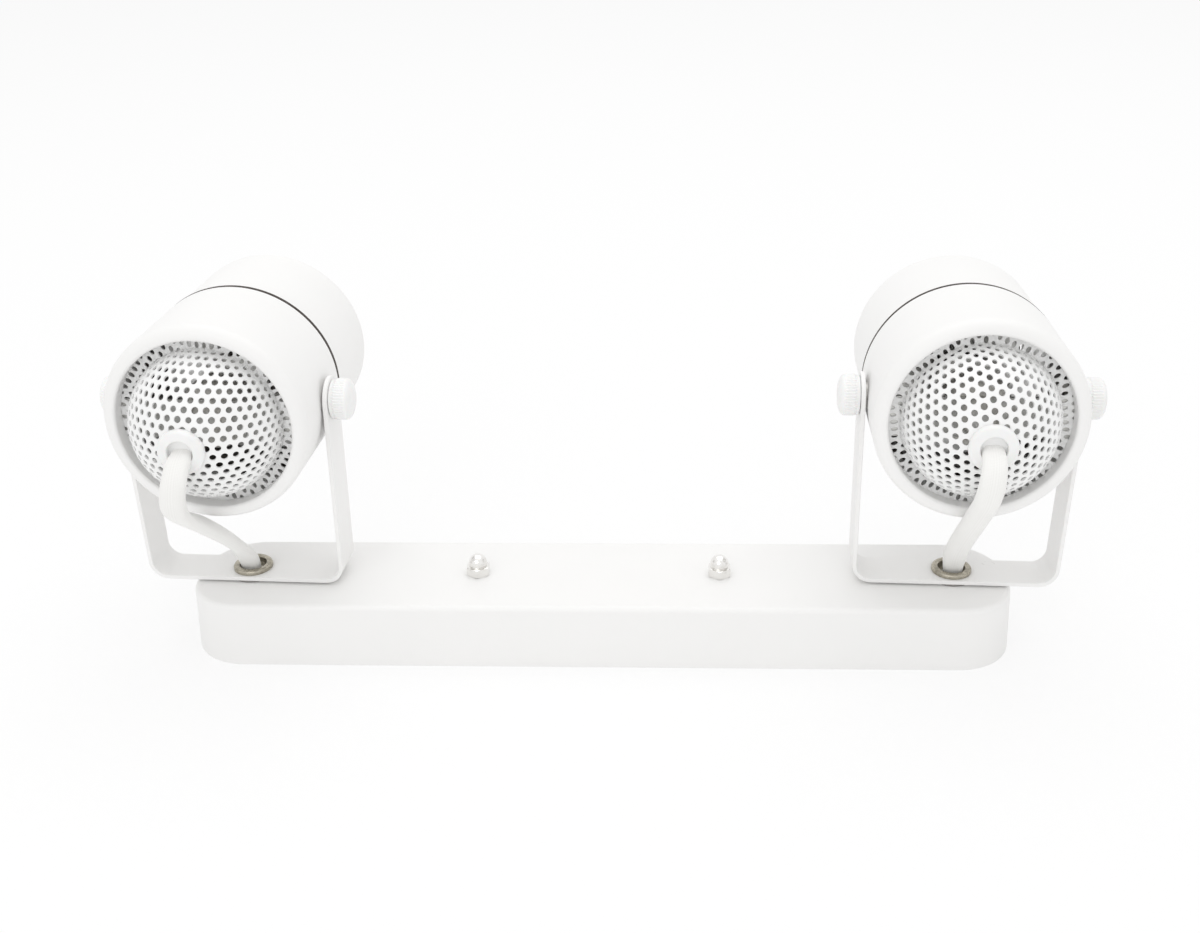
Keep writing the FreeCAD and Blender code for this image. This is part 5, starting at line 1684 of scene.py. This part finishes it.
# ---------------------------------------------------------------- studio
@dataclass
class Studio:
    """A white table, soft light from above and the camera behind the heads."""

    lens: float = 40.773         # for a sensor 36 mm wide
    camera_place: tuple[float, float, float] = (0.0235026, -0.4333593, 0.2785367)
    right: tuple[float, float, float] = (0.99894783, 0.04195933, -0.01851067)
    up: tuple[float, float, float] = (-0.00168971, 0.43702558, 0.89944749)
    forward: tuple[float, float, float] = (-0.04582985, 0.89846984, -0.43663665)
    table: float = 6.0
    table_white: Colour = (0.94, 0.94, 0.94)
    table_glow: float = 0.72     # share of pure white in what the camera sees of the table
    sky: float = 0.84
    overhead: float = 6.0
    front_fill: float = 2.4

    @staticmethod
    def stand(obj: bpy.types.Object, matrix: Matrix, place: Sequence[float]) -> None:
        """Puts an object into the scene, turned by a matrix and moved to a place."""
        matrix = matrix.to_4x4()
        matrix.translation = place
        obj.matrix_world = matrix
        bpy.context.scene.collection.objects.link(obj)

    def camera(self) -> None:
        """Sets the camera at the photograph's place and angle."""
        data = bpy.data.cameras.new("studio_camera")
        data.lens, data.sensor_width = self.lens, 36.0
        data.clip_start, data.clip_end = 0.01, 50.0
        camera = bpy.data.objects.new("studio_camera", data)
        axes = np.array([self.right, self.up, [-c for c in self.forward]]).T
        self.stand(camera, Matrix(axes.tolist()), self.camera_place)
        bpy.context.scene.camera = camera

    def floor(self) -> None:
        """A white table, which the camera sees as part lit surface and part pure white."""
        mesh = bpy.data.meshes.new("white_table")
        half = self.table / 2
        mesh.from_pydata([(-half, -half, 0), (half, -half, 0), (half, half, 0), (-half, half, 0)], [],
                         [(0, 1, 2, 3)])
        table = bpy.data.objects.new("white_table", mesh)
        bpy.context.scene.collection.objects.link(table)
        material = bpy.data.materials.new("table_white")
        bench = Bench(material)
        lit = bench.node("ShaderNodeBsdfDiffuse", None, {"Color": self.table_white})
        white = bench.node("ShaderNodeEmission", None, {"Color": WHITE, "Strength": 1.0})
        seen = self.seen(bench) * self.table_glow
        bench.finish(bench.node("ShaderNodeMixShader", None, {0: seen, 1: lit, 2: white}))
        mesh.materials.append(material)

    @staticmethod
    def seen(bench: Bench) -> Reading:
        """One for rays that the camera, a mirror or clear glass sends."""
        camera = bench.node("ShaderNodeLightPath", output="Is Camera Ray")
        outputs = camera.socket.node.outputs
        glossy = Reading(bench, outputs["Is Glossy Ray"])
        through = Reading(bench, outputs["Is Transmission Ray"])
        return camera.larger(glossy).larger(through)

    def world(self) -> None:
        """An even white sky, which the camera sees as pure white."""
        world = bpy.data.worlds.new("studio_sky")
        bpy.context.scene.world = world
        bench = Bench(world, "ShaderNodeOutputWorld")
        strength = self.seen(bench) * (1.0 - self.sky) + self.sky
        bench.finish(bench.node("ShaderNodeBackground", None, {"Color": WHITE, "Strength": strength}))

    def lamp(self, name: str, power: float, size: float, place: Sequence[float],
             target: Sequence[float] = (0, 0, 0.05)) -> None:
        """A square soft light that faces a target.

        Args:
            name: The light's name.
            power: Its power in watts.
            size: The length of its side.
            place: Where it hangs.
            target: What it points at.
        """
        data = bpy.data.lights.new(name, "AREA")
        data.energy, data.size = power, size
        back = unit(np.array(place, float) - np.array(target, float))
        side = unit(np.cross([0.0, 1.0, 0.02], back))
        axes = Matrix(np.array([side, np.cross(back, side), back]).T.tolist())
        self.stand(bpy.data.objects.new(name, data), axes, place)

    def make(self) -> None:
        """Builds the whole studio."""
        bpy.context.scene.view_settings.view_transform = "Standard"
        self.camera()
        self.floor()
        self.world()
        self.lamp("overhead_softbox", self.overhead, 1.6, (0.1, 0.3, 1.5))
        self.lamp("front_softbox", self.front_fill, 1.0, (-0.3, -1.2, 0.8))


# ---------------------------------------------------------------- the whole light
@dataclass
class Joints:
    """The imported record's joints, and the places that follow from them."""

    frame: dict

    def read(self, name: str, side: Side, key: str) -> Array:
        """Three numbers of one side's joint: its axis or its place."""
        joint = next(j for j in self.frame["joints"] if j["name"] == f"{name}_{side.value}")
        return np.array(joint[key], float)

    def head(self, side: Side) -> Place:
        """A head's frame, from its joints: the tilt axis, the beam that its sleeve slides along, and up."""
        across, beam = unit(self.read("tilt", side, "axis")), unit(self.read("sleeve_slide", side, "axis"))
        return Place(self.read("tilt", side, "pos_m"), np.stack([across, beam, np.cross(across, beam)]))

    def swivel(self, side: Side, height: float) -> Place:
        """A frame at that height on a swivel's axis."""
        return Place(self.read("swivel", side, "pos_m") * [1, 1, 0] + [0, 0, height])

    def yoke(self, side: Side, height: float) -> Place:
        """The same frame, with x turned along the tilt axis."""
        across, up = unit(self.read("tilt", side, "axis")), np.array([0.0, 0.0, 1.0])
        axes = np.stack([across, np.cross(up, across), up])
        return Place(self.swivel(side, height).origin, axes)


def build_side(joints: Joints, side: Side, canopy: Canopy) -> None:
    """Builds one swivel with its yoke and everything that the yoke carries."""
    place = joints.head(side)
    outward = -1 if side is Side.LEFT else 1
    for part in (
        Swivel(side, joints.swivel(side, canopy.height), canopy),
        Yoke(side, joints.yoke(side, canopy.height)),
        Head(side, place),
        Dome(side, place, VENT_TURNS[side], VENT_SEEDS[side]),
        Collar(side, place),
        Sleeve(side, place),
        Lamp(side, place),
        ThumbScrew(side, place, "outer", outward),
        ThumbScrew(side, place, "inner", -outward),
        Lead(side, ROUTES[side], TWISTS[side]),
    ):
        part.make()


def main() -> None:
    """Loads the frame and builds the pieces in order."""
    logging.basicConfig(level=logging.INFO, format="%(message)s", force=True)
    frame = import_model()
    Studio().make()
    canopy = Canopy()
    canopy.make()
    Crossbar(canopy).make()
    for side in Side:
        build_side(Joints(frame), side, canopy)


if __name__ == "__main__":
    main()
